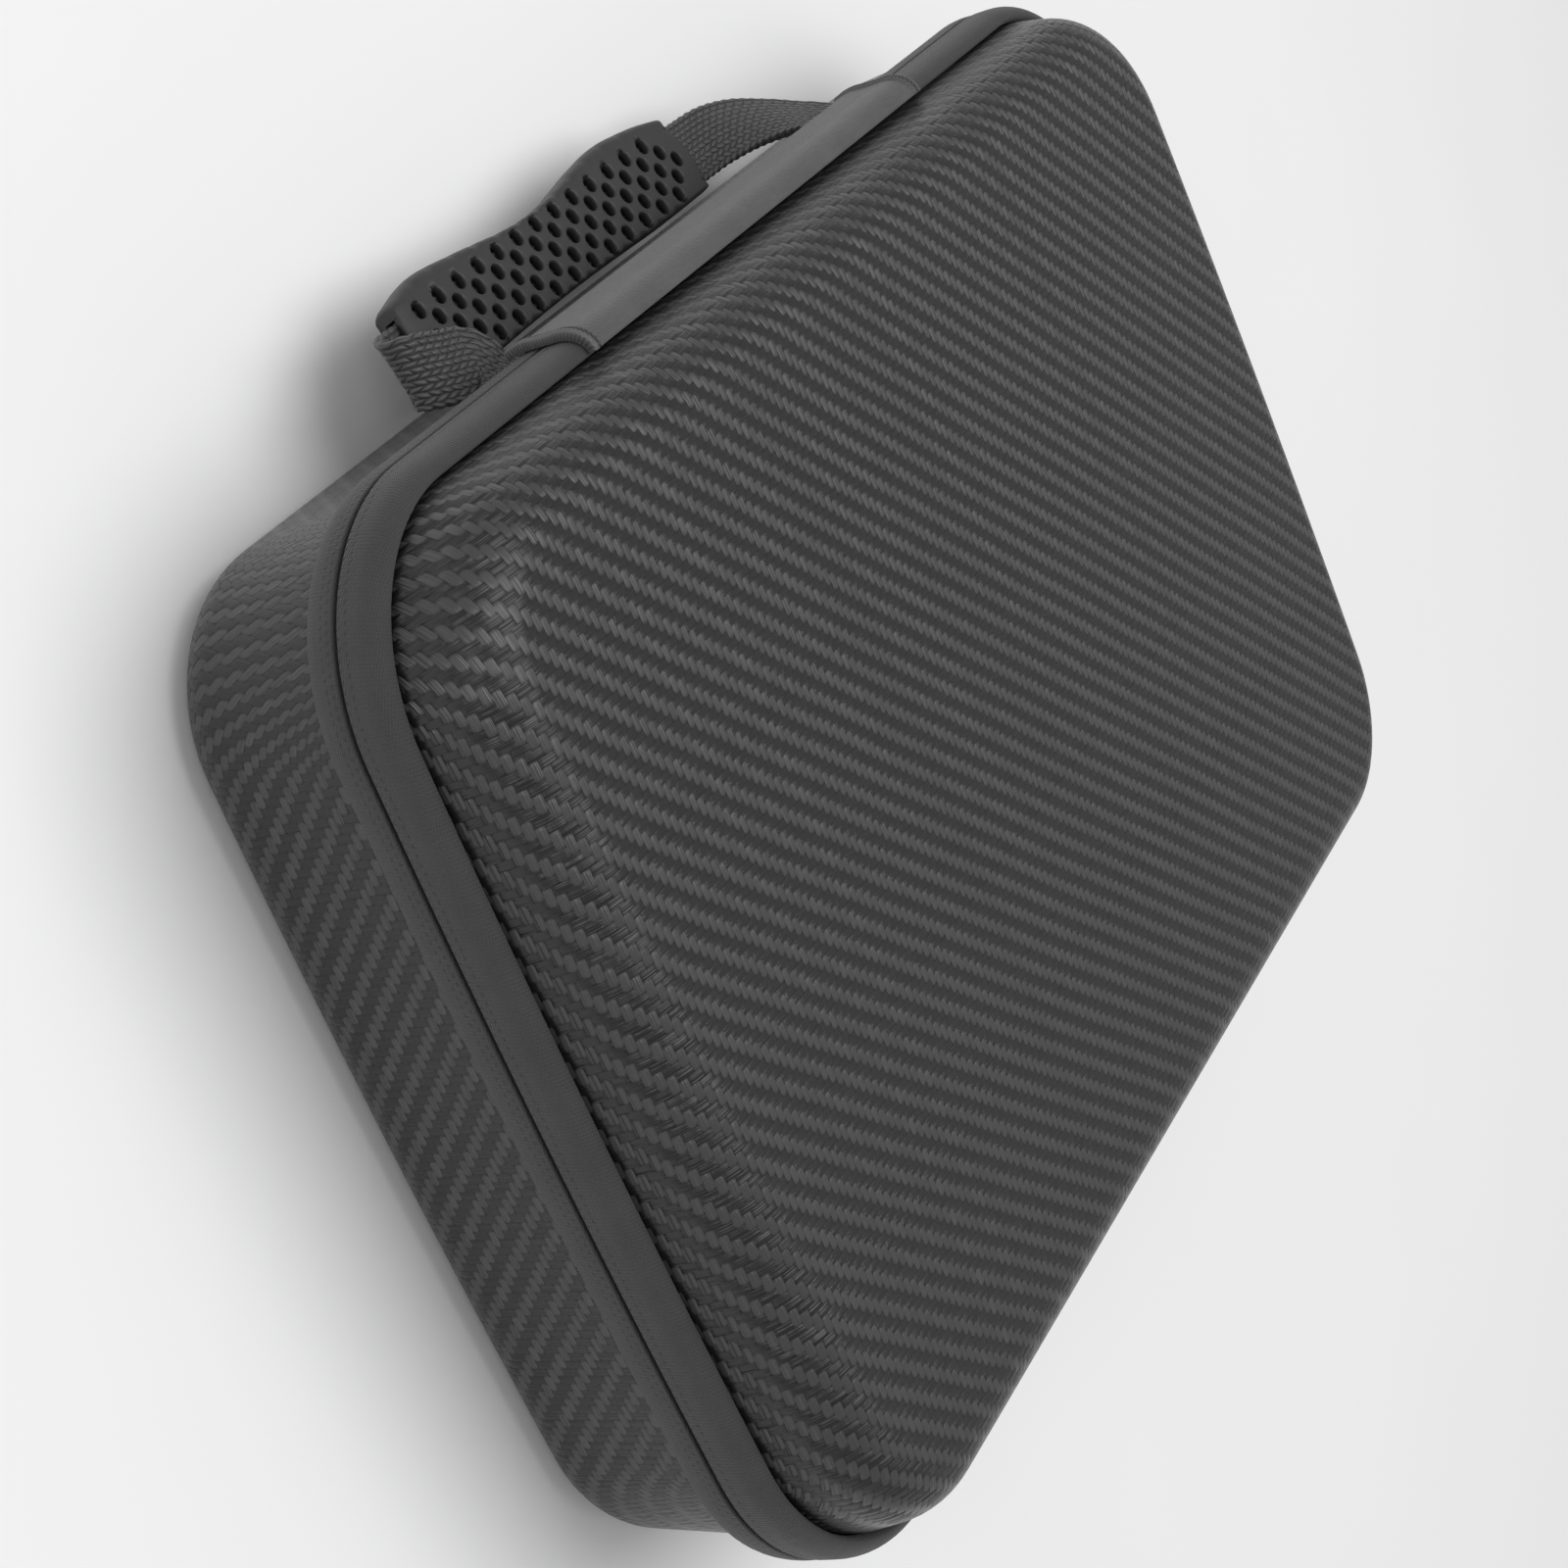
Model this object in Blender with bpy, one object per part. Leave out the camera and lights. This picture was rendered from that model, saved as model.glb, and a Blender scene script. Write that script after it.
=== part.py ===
"""Zip-around camera case with a carrying handle, lying closed on its back face.

X runs along the handle side, +Y points out of the handle side and Z is up.
The origin is the middle of the flat back face, which rests on the floor.
"""

import math

import bmesh
import bpy
import numpy as np
from mathutils import Vector

MM = 0.001

# Case body. Every inset is measured inwards from the outline of the zip band.
case_length = 288.0 * MM
case_width = 191.6 * MM
corner_radius = 33.0 * MM
end_bow = 0.02
back_height = 40.4 * MM
front_height = 22.7 * MM
wall = 3.0 * MM
gap = 0.3 * MM

# Moulded shells.
front_edge_inset = 7.0 * MM
front_edge_radius = 11.2 * MM
back_edge_inset = 6.9 * MM
back_edge_radius = 10.7 * MM

# Zip band: two fabric halves that meet at the zip line, and the coil behind them.
band_front = 8.2 * MM
band_rear = 6.1 * MM
band_depth = 3.7 * MM
band_roll = 2.9 * MM
band_rear_inset = 0.8 * MM
zip_gap = 0.5 * MM
coil_height = 3.8 * MM
coil_width = 3.0 * MM

# Fabric strip over the hinge, on the handle side.
hinge_length = 128.6 * MM
hinge_thickness = 1.1 * MM
hem_length = 2.6 * MM
hem_raise = 0.6 * MM

# Handle webbing and the rubber grip around it.
strap_reach = 72.0 * MM
strap_width = 12.4 * MM
strap_thickness = 1.6 * MM
grip_first_share = 0.172
hole_pitch = 6.9 * MM
row_pitch = 2.64 * MM
hole_length = 3.2 * MM
hole_width = 2.9 * MM
grip_wall = 1.7 * MM
grip_end_margin = 0.8 * MM
grip_end_round = 2.6 * MM

# Zip slider on the side away from the handle.
slider_length = 13.0 * MM
slider_width = 8.0 * MM
slider_thickness = 2.8 * MM

shell_inset = band_depth + gap
zip_level = back_height
half_length = case_length / 2
half_width = case_width / 2

# Path of the webbing from the left seam to the right seam.
# along: share of strap_reach. out: from the shell wall, in strap widths.
# down: below the zip line, as a share of back_height. lean: direction of the upper edge.
STRAP_STATIONS = (
    # along, out, down, lean_x, lean_y, lean_z
    (-0.870, 0.106, 0.200, 1.00, 0.00, 0.00),
    (-0.872, 0.184, 0.261, 1.00, 0.05, -0.02),
    (-0.898, 0.416, 0.306, 0.94, 0.34, -0.04),
    (-0.970, 0.542, 0.327, 0.63, 0.77, -0.06),
    (-1.023, 0.639, 0.353, 0.08, 1.00, -0.05),
    (-1.053, 0.697, 0.389, -0.08, 1.00, -0.04),
    (-1.053, 0.726, 0.440, -0.11, 0.99, -0.08),
    (-1.013, 0.745, 0.481, 0.00, 0.97, -0.24),
    (-0.950, 0.745, 0.493, 0.00, 0.95, -0.31),
    (-0.583, 0.745, 0.532, 0.00, 0.95, -0.31),
    (-0.167, 0.736, 0.561, 0.00, 0.95, -0.31),
    (0.250, 0.726, 0.582, 0.00, 0.95, -0.31),
    (0.492, 0.706, 0.594, 0.00, 0.95, -0.31),
    (0.608, 0.716, 0.558, 0.20, 0.90, -0.40),
    (0.708, 0.648, 0.499, 0.35, 0.75, -0.56),
    (0.792, 0.494, 0.416, 0.62, 0.50, -0.60),
    (0.845, 0.319, 0.327, 0.91, 0.21, -0.36),
    (0.868, 0.194, 0.261, 1.00, 0.04, -0.05),
    (0.870, 0.106, 0.200, 1.00, 0.00, 0.00),
)

# Outline of the grip, from its left end to its right end, in strap widths.
GRIP_OUTLINE = (
    # share of length, upper edge, lower edge
    (0.00, 0.64, 0.60),
    (0.05, 0.78, 0.61),
    (0.13, 0.86, 0.62),
    (0.25, 0.77, 0.60),
    (0.42, 0.61, 0.58),
    (0.55, 0.63, 0.58),
    (0.68, 0.78, 0.60),
    (0.78, 0.85, 0.62),
    (0.88, 0.79, 0.62),
    (0.95, 0.70, 0.61),
    (1.00, 0.61, 0.60),
)

# Zip slider and its pull, from one end to the other. along: share of slider_length.
# tall: share of slider_width. near and far: distance out from the band, in slider_thickness.
SLIDER_STATIONS = (
    # along, tall, near, far
    (-0.50, 0.72, 0.00, 0.62),
    (-0.40, 0.92, 0.00, 0.92),
    (-0.10, 1.00, 0.00, 1.00),
    (0.25, 0.96, 0.00, 1.00),
    (0.44, 0.80, 0.00, 0.90),
    (0.56, 0.58, 0.34, 0.86),
    (1.80, 0.72, 0.34, 0.86),
    (2.10, 0.72, 0.34, 0.86),
    (2.20, 0.50, 0.34, 0.86),
)


def clear_scene():
    """Remove every object that is in the scene."""
    for old in list(bpy.data.objects):
        bpy.data.objects.remove(old, do_unlink=True)


def add_part(name, points, faces, look):
    """One closed body from points and faces, turned outwards and shaded smooth."""
    mesh = bpy.data.meshes.new(name)
    body = bmesh.new()
    verts = [body.verts.new(Vector(p)) for p in points]
    for face in faces:
        body.faces.new([verts[i] for i in face])
    bmesh.ops.recalc_face_normals(body, faces=body.faces)
    body.to_mesh(mesh)
    body.free()
    mesh.shade_smooth()
    mesh.set_sharp_from_angle(angle=math.radians(38))
    part = bpy.data.objects.new(name, mesh)
    bpy.context.scene.collection.objects.link(part)
    colour, roughness, metallic = look
    material = bpy.data.materials.new(name + "_material")
    material.use_nodes = True
    shader = material.node_tree.nodes["Principled BSDF"]
    shader.inputs["Base Color"].default_value = (colour, colour, colour * 1.02, 1.0)
    shader.inputs["Roughness"].default_value = roughness
    shader.inputs["Metallic"].default_value = metallic
    mesh.materials.append(material)
    return part


def outline(inset, level):
    """Closed loop of the case's outline: a rounded rectangle whose short ends bow out."""
    reach_x = half_length - inset
    reach_y = half_width - inset
    radius = max(corner_radius - inset, 2 * MM)
    corner_steps = 10
    end_steps = 5
    loop = []
    quarters = ((1, 1, 0), (-1, 1, 90), (-1, -1, 180), (1, -1, 270))
    for index, (side_x, side_y, start) in enumerate(quarters):
        centre_x = side_x * (reach_x - radius)
        centre_y = side_y * (reach_y - radius)
        for step in range(corner_steps + 1):
            angle = math.radians(start + 90 * step / corner_steps)
            x = centre_x + radius * math.cos(angle)
            y = centre_y + radius * math.sin(angle)
            loop.append((x, y))
        steps = end_steps if index in (1, 3) else 2
        following = quarters[(index + 1) % 4]
        angle = math.radians(following[2])
        next_x = following[0] * (reach_x - radius) + radius * math.cos(angle)
        next_y = following[1] * (reach_y - radius) + radius * math.sin(angle)
        last_x, last_y = loop[-1]
        for step in range(1, steps):
            share = step / steps
            loop.append((last_x + (next_x - last_x) * share, last_y + (next_y - last_y) * share))
    return [(x * (1 - end_bow * (y / half_width) ** 2), y, level) for x, y in loop]


def wall_rows(base_inset, top_inset, height, radius, straight, start):
    """Rows (inset, rise) of a drafted wall with a rounded edge up to a flat face."""
    draft = math.atan2(height - straight, top_inset - base_inset)
    back_off = radius * math.tan(draft / 2)
    centre_inset = top_inset + back_off
    centre_rise = height - radius
    rows = [(base_inset, start), (base_inset, straight)]
    steps = 6
    for step in range(steps + 1):
        angle = draft * (1 - step / steps)
        inset = centre_inset - radius * math.sin(angle)
        rise = centre_rise + radius * math.cos(angle)
        rows.append((inset, rise))
    return rows


def add_dish(name, edge_inset, edge_radius, height, straight, direction, look):
    """Open moulded tray: an outer skin, an inner skin one wall further in, and its rim."""
    start = coil_height / 2 + gap
    outer = wall_rows(shell_inset, edge_inset, height, edge_radius, straight, start)
    inner = wall_rows(
        shell_inset + wall, edge_inset + wall, height - wall, edge_radius - wall, straight, start
    )
    points = []
    faces = []
    for inset, rise in outer + inner[::-1]:
        points += outline(inset, zip_level + direction * rise)
    count = len(outline(0.0, 0.0))
    rows = len(outer)
    for row in range(2 * rows):
        if row == rows - 1:
            continue
        after = (row + 1) % (2 * rows)
        for i in range(count):
            j = (i + 1) % count
            faces.append((row * count + i, row * count + j, after * count + j, after * count + i))
    faces.append(tuple(range((rows - 1) * count, rows * count)))
    faces.append(tuple(range(rows * count, (rows + 1) * count)))
    return add_part(name, points, faces, look)


def add_ring(name, section, look):
    """A section of (inset, height) points carried once round the case."""
    points = []
    faces = []
    for inset, height in section:
        points += outline(inset, zip_level + height)
    count = len(outline(0.0, 0.0))
    rows = len(section)
    for row in range(rows):
        after = (row + 1) % rows
        for i in range(count):
            j = (i + 1) % count
            faces.append((row * count + i, row * count + j, after * count + j, after * count + i))
    return add_part(name, points, faces, look)


def front_band_face():
    """Outer face of the front band, from the zip line up and over its roll."""
    rows = [(0.0, zip_gap / 2)]
    steps = 5
    rise = band_front * 0.55
    for step in range(steps + 1):
        angle = math.radians(90) * step / steps
        inset = band_roll * (1 - math.cos(angle))
        rows.append((inset, band_front - rise + rise * math.sin(angle)))
    return rows


def rear_band_face():
    """Outer face of the rear band, from its rear edge up to the zip line."""
    return [
        (band_rear_inset, -band_rear),
        (band_rear_inset * 0.35, -band_rear * 0.72),
        (0.0, -band_rear * 0.40),
        (0.0, -zip_gap / 2),
    ]


def add_bands():
    """The two fabric halves of the zip band and the coil that joins them."""
    fabric = (0.024, 0.75, 0.0)
    front = front_band_face()
    front += [(band_depth, band_front * 0.86), (band_depth, zip_gap / 2)]
    add_ring("zip_band_front", front, fabric)
    rear = rear_band_face()
    rear += [(band_depth, -zip_gap / 2), (band_depth, -band_rear)]
    add_ring("zip_band_rear", rear, fabric)
    coil = [
        (shell_inset, -coil_height / 2),
        (shell_inset, coil_height / 2),
        (shell_inset + coil_width, coil_height / 2),
        (shell_inset + coil_width, -coil_height / 2),
    ]
    add_ring("zip_coil", coil, (0.006, 0.6, 0.0))


def offset_rows(rows, distance):
    """Rows (inset, height) moved outwards along their normals."""
    path = np.array(rows)
    along = np.gradient(path, axis=0)
    along /= np.linalg.norm(along, axis=1)[:, None]
    outward = np.stack([-along[:, 1], along[:, 0]], axis=1)
    return path + outward * distance


def add_hinge_strip():
    """Fabric strip folded over the band, with a raised hem at each end."""
    rows = rear_band_face() + front_band_face()
    inner = offset_rows(rows, gap)
    thin = offset_rows(rows, gap + hinge_thickness)
    thick = offset_rows(rows, gap + hinge_thickness + hem_raise)
    half = hinge_length / 2
    stations = (
        # position, share of the hem's extra thickness
        (-half, 0.55),
        (-half + hem_length * 0.30, 1.0),
        (-half + hem_length * 0.52, 0.35),
        (-half + hem_length * 0.75, 0.9),
        (-half + hem_length * 1.25, 0.0),
        (half - hem_length * 1.25, 0.0),
        (half - hem_length * 0.75, 0.9),
        (half - hem_length * 0.52, 0.35),
        (half - hem_length * 0.30, 1.0),
        (half, 0.55),
    )
    points = []
    for x, share in stations:
        outer = thin + (thick - thin) * share
        section = list(inner) + list(outer[::-1])
        points += [(x, half_width - inset, zip_level + height) for inset, height in section]
    count = 2 * len(rows)
    faces = [tuple(range(count)), tuple(range((len(stations) - 1) * count, len(stations) * count))]
    for row in range(len(stations) - 1):
        for i in range(count):
            j = (i + 1) % count
            low = row * count
            faces.append((low + i, low + j, low + count + j, low + count + i))
    add_part("hinge_strip", points, faces, (0.075, 0.8, 0.0))


def smooth_track(values, steps):
    """Points on a Catmull-Rom curve through the rows, with steps between each pair."""
    rows = np.array(values, float)
    padded = np.concatenate([2 * rows[:1] - rows[1:2], rows, 2 * rows[-1:] - rows[-2:-1]])
    track = []
    for i in range(len(rows) - 1):
        a, b, c, d = padded[i : i + 4]
        for step in range(steps):
            u = step / steps
            bend = (2 * a - 5 * b + 4 * c - d) * u**2 + (3 * b - a - 3 * c + d) * u**3
            track.append(0.5 * (2 * b + (c - a) * u + bend))
    track.append(rows[-1])
    return np.array(track)


def strap_frames(steps):
    """Middle, direction of the upper edge and facing of the webbing along its path."""
    stations = []
    for along, out, down, lean_x, lean_y, lean_z in STRAP_STATIONS:
        wall_y = half_width - shell_inset
        middle = (along * strap_reach, wall_y + out * strap_width, zip_level - down * back_height)
        stations.append((*middle, lean_x, lean_y, lean_z))
    track = smooth_track(stations, steps)
    middle = track[:, :3]
    travel = np.gradient(middle, axis=0)
    travel /= np.linalg.norm(travel, axis=1)[:, None]
    lean = track[:, 3:]
    lean = lean - travel * (lean * travel).sum(axis=1)[:, None]
    lean /= np.linalg.norm(lean, axis=1)[:, None]
    return middle, lean, np.cross(travel, lean)


def add_strap():
    """The webbing: a thin ribbon on edge, twisted flat at both seams."""
    middle, lean, facing = strap_frames(4)
    across = strap_width / 2
    deep = strap_thickness / 2
    corners = (
        # share of half width, share of half thickness
        (-1.0, -0.55),
        (-0.9, -1.0),
        (0.9, -1.0),
        (1.0, -0.55),
        (1.0, 0.55),
        (0.9, 1.0),
        (-0.9, 1.0),
        (-1.0, 0.55),
    )
    points = []
    for centre, side, out in zip(middle, lean, facing):
        points += [tuple(centre + side * a * across + out * b * deep) for a, b in corners]
    count = len(corners)
    last = (len(middle) - 1) * count
    faces = [tuple(range(count)), tuple(range(last, last + count))]
    for row in range(len(middle) - 1):
        for i in range(count):
            j = (i + 1) % count
            low = row * count
            faces.append((low + i, low + j, low + count + j, low + count + i))
    add_part("handle_strap", points, faces, (0.03, 0.85, 0.0))


class GripMesh:
    """Collects the grip's points by name, so that neighbouring faces share them."""

    def __init__(self):
        self.points = []
        self.index = {}
        self.faces = []

    def at(self, key, place):
        """Number of the point called key, made at place if it is new."""
        if key not in self.index:
            self.index[key] = len(self.points)
            self.points.append(place)
        return self.index[key]


def grip_holes():
    """Hole positions in quarter pitches along and half rows across, staggered row by row."""
    holes = []
    for row, first, last in ((-2, 0, 48), (-1, 2, 50), (0, 0, 52), (1, 2, 50), (2, 0, 48)):
        holes += [(i, 2 * row) for i in range(first, last + 1, 4)]
    return holes


def add_grip():
    """Rubber sleeve round the webbing, pierced through its front wall in staggered rows."""
    step_s = hole_pitch / 4
    step_t = row_pitch / 2
    first, last = -3, 55
    start_s = first * step_s - grip_end_margin
    end_s = last * step_s + grip_end_margin * 0.4
    length = end_s - start_s
    slot = strap_thickness / 2 + gap
    skin = slot + grip_wall
    edge_t = 5 * step_t
    table = np.array(GRIP_OUTLINE)

    def place_s(i, t):
        if first < i < last:
            return i * step_s
        inward = grip_end_round * (t / edge_t) ** 2
        return start_s + inward * 0.5 if i <= first else end_s - inward

    def half_width_at(i, side):
        share = (place_s(i, 0.0) - start_s) / length
        column = 1 if side > 0 else 2
        return float(np.interp(share, table[:, 0], table[:, column])) * strap_width

    grid = GripMesh()

    def skin_point(i, j, n):
        t = j * step_t
        return grid.at(("grid", i, j, n), (place_s(i, t), t, n))

    def edge_point(i, side, kind, n_sign):
        reach = half_width_at(i, side)
        if kind == "lip":
            t = side * (edge_t + (reach - edge_t) * 0.72)
            n = n_sign * skin * 0.72
        else:
            t = side * reach
            n = 0.0
            n_sign = 0
        return grid.at(("edge", i, side, kind, n_sign), (place_s(i, t), t, n))

    ring = ((2, 0), (1, 1), (0, 2), (-1, 1), (-2, 0), (-1, -1), (0, -2), (1, -1))
    for i, j in grip_holes():
        rims = {}
        for n in (skin, slot):
            rim = []
            cell = []
            for number, (di, dj) in enumerate(ring):
                angle = math.radians(45 * number)
                s = i * step_s + hole_length / 2 * math.cos(angle)
                t = j * step_t + hole_width / 2 * math.sin(angle)
                rim.append(grid.at(("hole", i, j, number, n), (s, t, n)))
                cut = min(max(j + dj, -5), 5)
                cell.append(skin_point(i + di, cut, n))
            rims[n] = rim
            for a in range(8):
                b = (a + 1) % 8
                grid.faces.append((cell[a], cell[b], rim[b], rim[a]))
        for a in range(8):
            b = (a + 1) % 8
            grid.faces.append((rims[skin][a], rims[skin][b], rims[slot][b], rims[slot][a]))

    for n in (skin, slot):
        for side in (-5, 5):
            inner = side - side // abs(side)
            for i in range(2, 47, 4):
                triple = [skin_point(i + d, side, n) for d in (-1, 0, 1)]
                grid.faces.append(tuple(triple + [skin_point(i, inner, n)]))
        left = [(-1, 5), (-2, 4), (-1, 3), (0, 2), (-1, 1), (-2, 0)]
        left += [(i, -j) for i, j in left[-2::-1]]
        right = [(49, 5), (50, 4), (51, 3), (52, 2), (53, 1), (54, 0)]
        right += [(i, -j) for i, j in right[-2::-1]]
        for zigzag, end, lead in ((left, first, (0, -1)), (right, last, (48, 49))):
            step = -1 if end == first else 1
            top = [(i, 5) for i in range(zigzag[0][0] + step, end, step)]
            column = [(end, j) for j in range(5, -6, -2)]
            bottom = [(i, -j) for i, j in top[::-1]]
            loop = top + column + bottom
            grid.faces.append(tuple(skin_point(i, j, n) for i, j in loop + zigzag[::-1]))

    stops = [first] + list(range(0, 53, 4)) + [last]
    for side in (-1, 1):
        for low, high in zip(stops[:-1], stops[1:]):
            span = range(low, high + 1)
            front = [skin_point(i, 5 * side, skin) for i in span]
            roof = [skin_point(i, 5 * side, slot) for i in span]
            lips = {s: [edge_point(i, side, "lip", s) for i in (low, high)] for s in (1, -1)}
            tip = [edge_point(i, side, "tip", 0) for i in (low, high)]
            back = [skin_point(i, 5 * side, -skin) for i in (low, high)]
            floor = [skin_point(i, 5 * side, -slot) for i in (low, high)]
            grid.faces.append(tuple(front + lips[1][::-1]))
            grid.faces.append(tuple(lips[1] + tip[::-1]))
            grid.faces.append(tuple(tip + lips[-1][::-1]))
            grid.faces.append(tuple(lips[-1] + back[::-1]))
            grid.faces.append(tuple(roof + floor[::-1]))
    for low, high in zip(stops[:-1], stops[1:]):
        for n in (-skin, -slot):
            ends = [skin_point(i, j, n) for i, j in ((low, -5), (high, -5), (high, 5), (low, 5))]
            grid.faces.append(tuple(ends))
    for end in (first, last):
        column = list(range(-5, 6, 2))
        outer = [skin_point(end, j, skin) for j in column]
        inner = [skin_point(end, j, slot) for j in column]
        for a in range(len(column) - 1):
            grid.faces.append((outer[a], outer[a + 1], inner[a + 1], inner[a]))
        low = [skin_point(end, j, -skin) for j in (-5, 5)]
        high = [skin_point(end, j, -slot) for j in (-5, 5)]
        grid.faces.append((low[0], low[1], high[1], high[0]))
        for side in (-1, 1):
            loop = [skin_point(end, 5 * side, n) for n in (skin, slot, -slot, -skin)]
            loop += [edge_point(end, side, "lip", -1), edge_point(end, side, "tip", 0)]
            loop += [edge_point(end, side, "lip", 1)]
            grid.faces.append(tuple(loop))

    middle, lean, facing = strap_frames(12)
    runs = np.concatenate([[0.0], np.cumsum(np.linalg.norm(np.diff(middle, axis=0), axis=1))])
    origin = runs[-1] * grip_first_share - start_s
    placed = []
    for s, t, n in grid.points:
        frame = []
        for track in (middle, lean, facing):
            frame.append(np.array([np.interp(s + origin, runs, track[:, k]) for k in range(3)]))
        placed.append(tuple(frame[0] + frame[1] * t + frame[2] * n))
    add_part("grip", placed, grid.faces, (0.035, 0.6, 0.0))


def add_slider():
    """Plain zip slider with its flat pull in one piece, on the side away from the handle."""
    face_y = -half_width - gap
    points = []
    for along, tall, near, far in SLIDER_STATIONS:
        x = along * slider_length
        z = tall * slider_width / 2
        near_y = face_y - near * slider_thickness
        far_y = face_y - far * slider_thickness
        points += [(x, near_y, zip_level - z), (x, far_y, zip_level - z)]
        points += [(x, far_y, zip_level + z), (x, near_y, zip_level + z)]
    last = (len(SLIDER_STATIONS) - 1) * 4
    faces = [(0, 1, 2, 3), (last, last + 1, last + 2, last + 3)]
    for low in range(0, last, 4):
        for i in range(4):
            j = (i + 1) % 4
            faces.append((low + i, low + j, low + 4 + j, low + 4 + i))
    add_part("zip_slider", points, faces, (0.02, 0.45, 0.6))


def build_case():
    """Every piece of the case, closed and lying on its back face."""
    clear_scene()
    skin = (0.028, 0.42, 0.0)
    add_dish(
        "front_shell", front_edge_inset, front_edge_radius, front_height, band_front, 1, skin
    )
    add_dish("back_shell", back_edge_inset, back_edge_radius, back_height, band_rear, -1, skin)
    add_bands()
    add_hinge_strip()
    add_strap()
    add_grip()
    add_slider()


build_case()
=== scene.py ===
"""Zip-around camera case with carbon-look shells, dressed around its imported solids.

The case lies on its back face. X runs along the handle side, +Y points out of the
handle side and Z is up. Every length is in metres unless a name says otherwise.
"""

import math

import bmesh
import bpy
import numpy as np
from mathutils import Matrix, Vector


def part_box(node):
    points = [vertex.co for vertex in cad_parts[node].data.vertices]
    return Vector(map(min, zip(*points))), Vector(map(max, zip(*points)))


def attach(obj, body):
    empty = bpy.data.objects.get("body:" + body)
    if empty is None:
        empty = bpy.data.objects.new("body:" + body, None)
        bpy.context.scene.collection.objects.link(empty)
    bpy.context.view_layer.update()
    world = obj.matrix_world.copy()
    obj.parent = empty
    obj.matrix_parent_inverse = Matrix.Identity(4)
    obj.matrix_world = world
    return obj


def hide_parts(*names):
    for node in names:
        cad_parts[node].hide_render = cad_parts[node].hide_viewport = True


bl_info = {
    "name": "Zip-around camera case",
    "version": (1, 0, 0),
    "blender": (4, 5, 0),
    "location": "3D View > Sidebar > Case",
    "description": "Builds a hard camera case with woven-look shells, a zip band and a handle",
    "category": "Object",
}

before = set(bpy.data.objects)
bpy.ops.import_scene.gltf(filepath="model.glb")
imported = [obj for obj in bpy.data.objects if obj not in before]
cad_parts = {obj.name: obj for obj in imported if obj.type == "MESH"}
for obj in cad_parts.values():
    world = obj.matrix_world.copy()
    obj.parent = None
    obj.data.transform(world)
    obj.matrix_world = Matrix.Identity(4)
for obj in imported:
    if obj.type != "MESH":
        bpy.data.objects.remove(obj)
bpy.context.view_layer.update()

MM = 0.001
TAU = 2 * math.pi

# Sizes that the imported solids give.
band_low, band_high = (np.array(corner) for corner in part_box("zip_band_front"))
half_length = float(band_high[0])
half_width = float(band_high[1])
zip_gap = 0.5 * MM
zip_level = float(band_low[2]) - zip_gap / 2
band_front = float(band_high[2]) - zip_level
band_rear = zip_level - float(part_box("zip_band_rear")[0][2])
front_height = float(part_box("front_shell")[1][2]) - zip_level
back_height = zip_level

# Sizes of the body's sections, as in the solids.
corner_radius = 33.0 * MM
end_bow = 0.02
wall = 3.0 * MM
gap = 0.3 * MM
band_depth = 3.7 * MM
band_roll = 2.9 * MM
band_rear_inset = 0.8 * MM
coil_height = 3.8 * MM
shell_inset = band_depth + gap
front_edge_inset = 7.0 * MM
front_edge_radius = 11.2 * MM
back_edge_inset = 6.9 * MM
back_edge_radius = 10.7 * MM
hinge_length = 128.6 * MM
hinge_thickness = 1.1 * MM
hem_length = 2.6 * MM
hem_raise = 0.6 * MM

# Sizes of the handle, as in the solids.
strap_reach = 72.0 * MM
strap_width = 12.4 * MM
strap_thickness = 1.6 * MM
grip_first_share = 0.172
hole_pitch = 6.9 * MM
row_pitch = 2.64 * MM
hole_length = 3.2 * MM
hole_width = 2.9 * MM
grip_wall = 1.7 * MM
grip_end_margin = 0.8 * MM
grip_end_round = 2.6 * MM
slider_length = 13.0 * MM
slider_width = 8.0 * MM
slider_thickness = 2.8 * MM

# Path of the webbing. along: share of strap_reach. out: from the shell wall, in strap
# widths. down: below the zip line, as a share of back_height. lean: upper edge's direction.
STRAP_STATIONS = (
    # along, out, down, lean_x, lean_y, lean_z
    (-0.870, 0.106, 0.200, 1.00, 0.00, 0.00),
    (-0.872, 0.184, 0.261, 1.00, 0.05, -0.02),
    (-0.898, 0.416, 0.306, 0.94, 0.34, -0.04),
    (-0.970, 0.542, 0.327, 0.63, 0.77, -0.06),
    (-1.023, 0.639, 0.353, 0.08, 1.00, -0.05),
    (-1.053, 0.697, 0.389, -0.08, 1.00, -0.04),
    (-1.053, 0.726, 0.440, -0.11, 0.99, -0.08),
    (-1.013, 0.745, 0.481, 0.00, 0.97, -0.24),
    (-0.950, 0.745, 0.493, 0.00, 0.95, -0.31),
    (-0.583, 0.745, 0.532, 0.00, 0.95, -0.31),
    (-0.167, 0.736, 0.561, 0.00, 0.95, -0.31),
    (0.250, 0.726, 0.582, 0.00, 0.95, -0.31),
    (0.492, 0.706, 0.594, 0.00, 0.95, -0.31),
    (0.608, 0.716, 0.558, 0.20, 0.90, -0.40),
    (0.708, 0.648, 0.499, 0.35, 0.75, -0.56),
    (0.792, 0.494, 0.416, 0.62, 0.50, -0.60),
    (0.845, 0.319, 0.327, 0.91, 0.21, -0.36),
    (0.868, 0.194, 0.261, 1.00, 0.04, -0.05),
    (0.870, 0.106, 0.200, 1.00, 0.00, 0.00),
)

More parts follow.
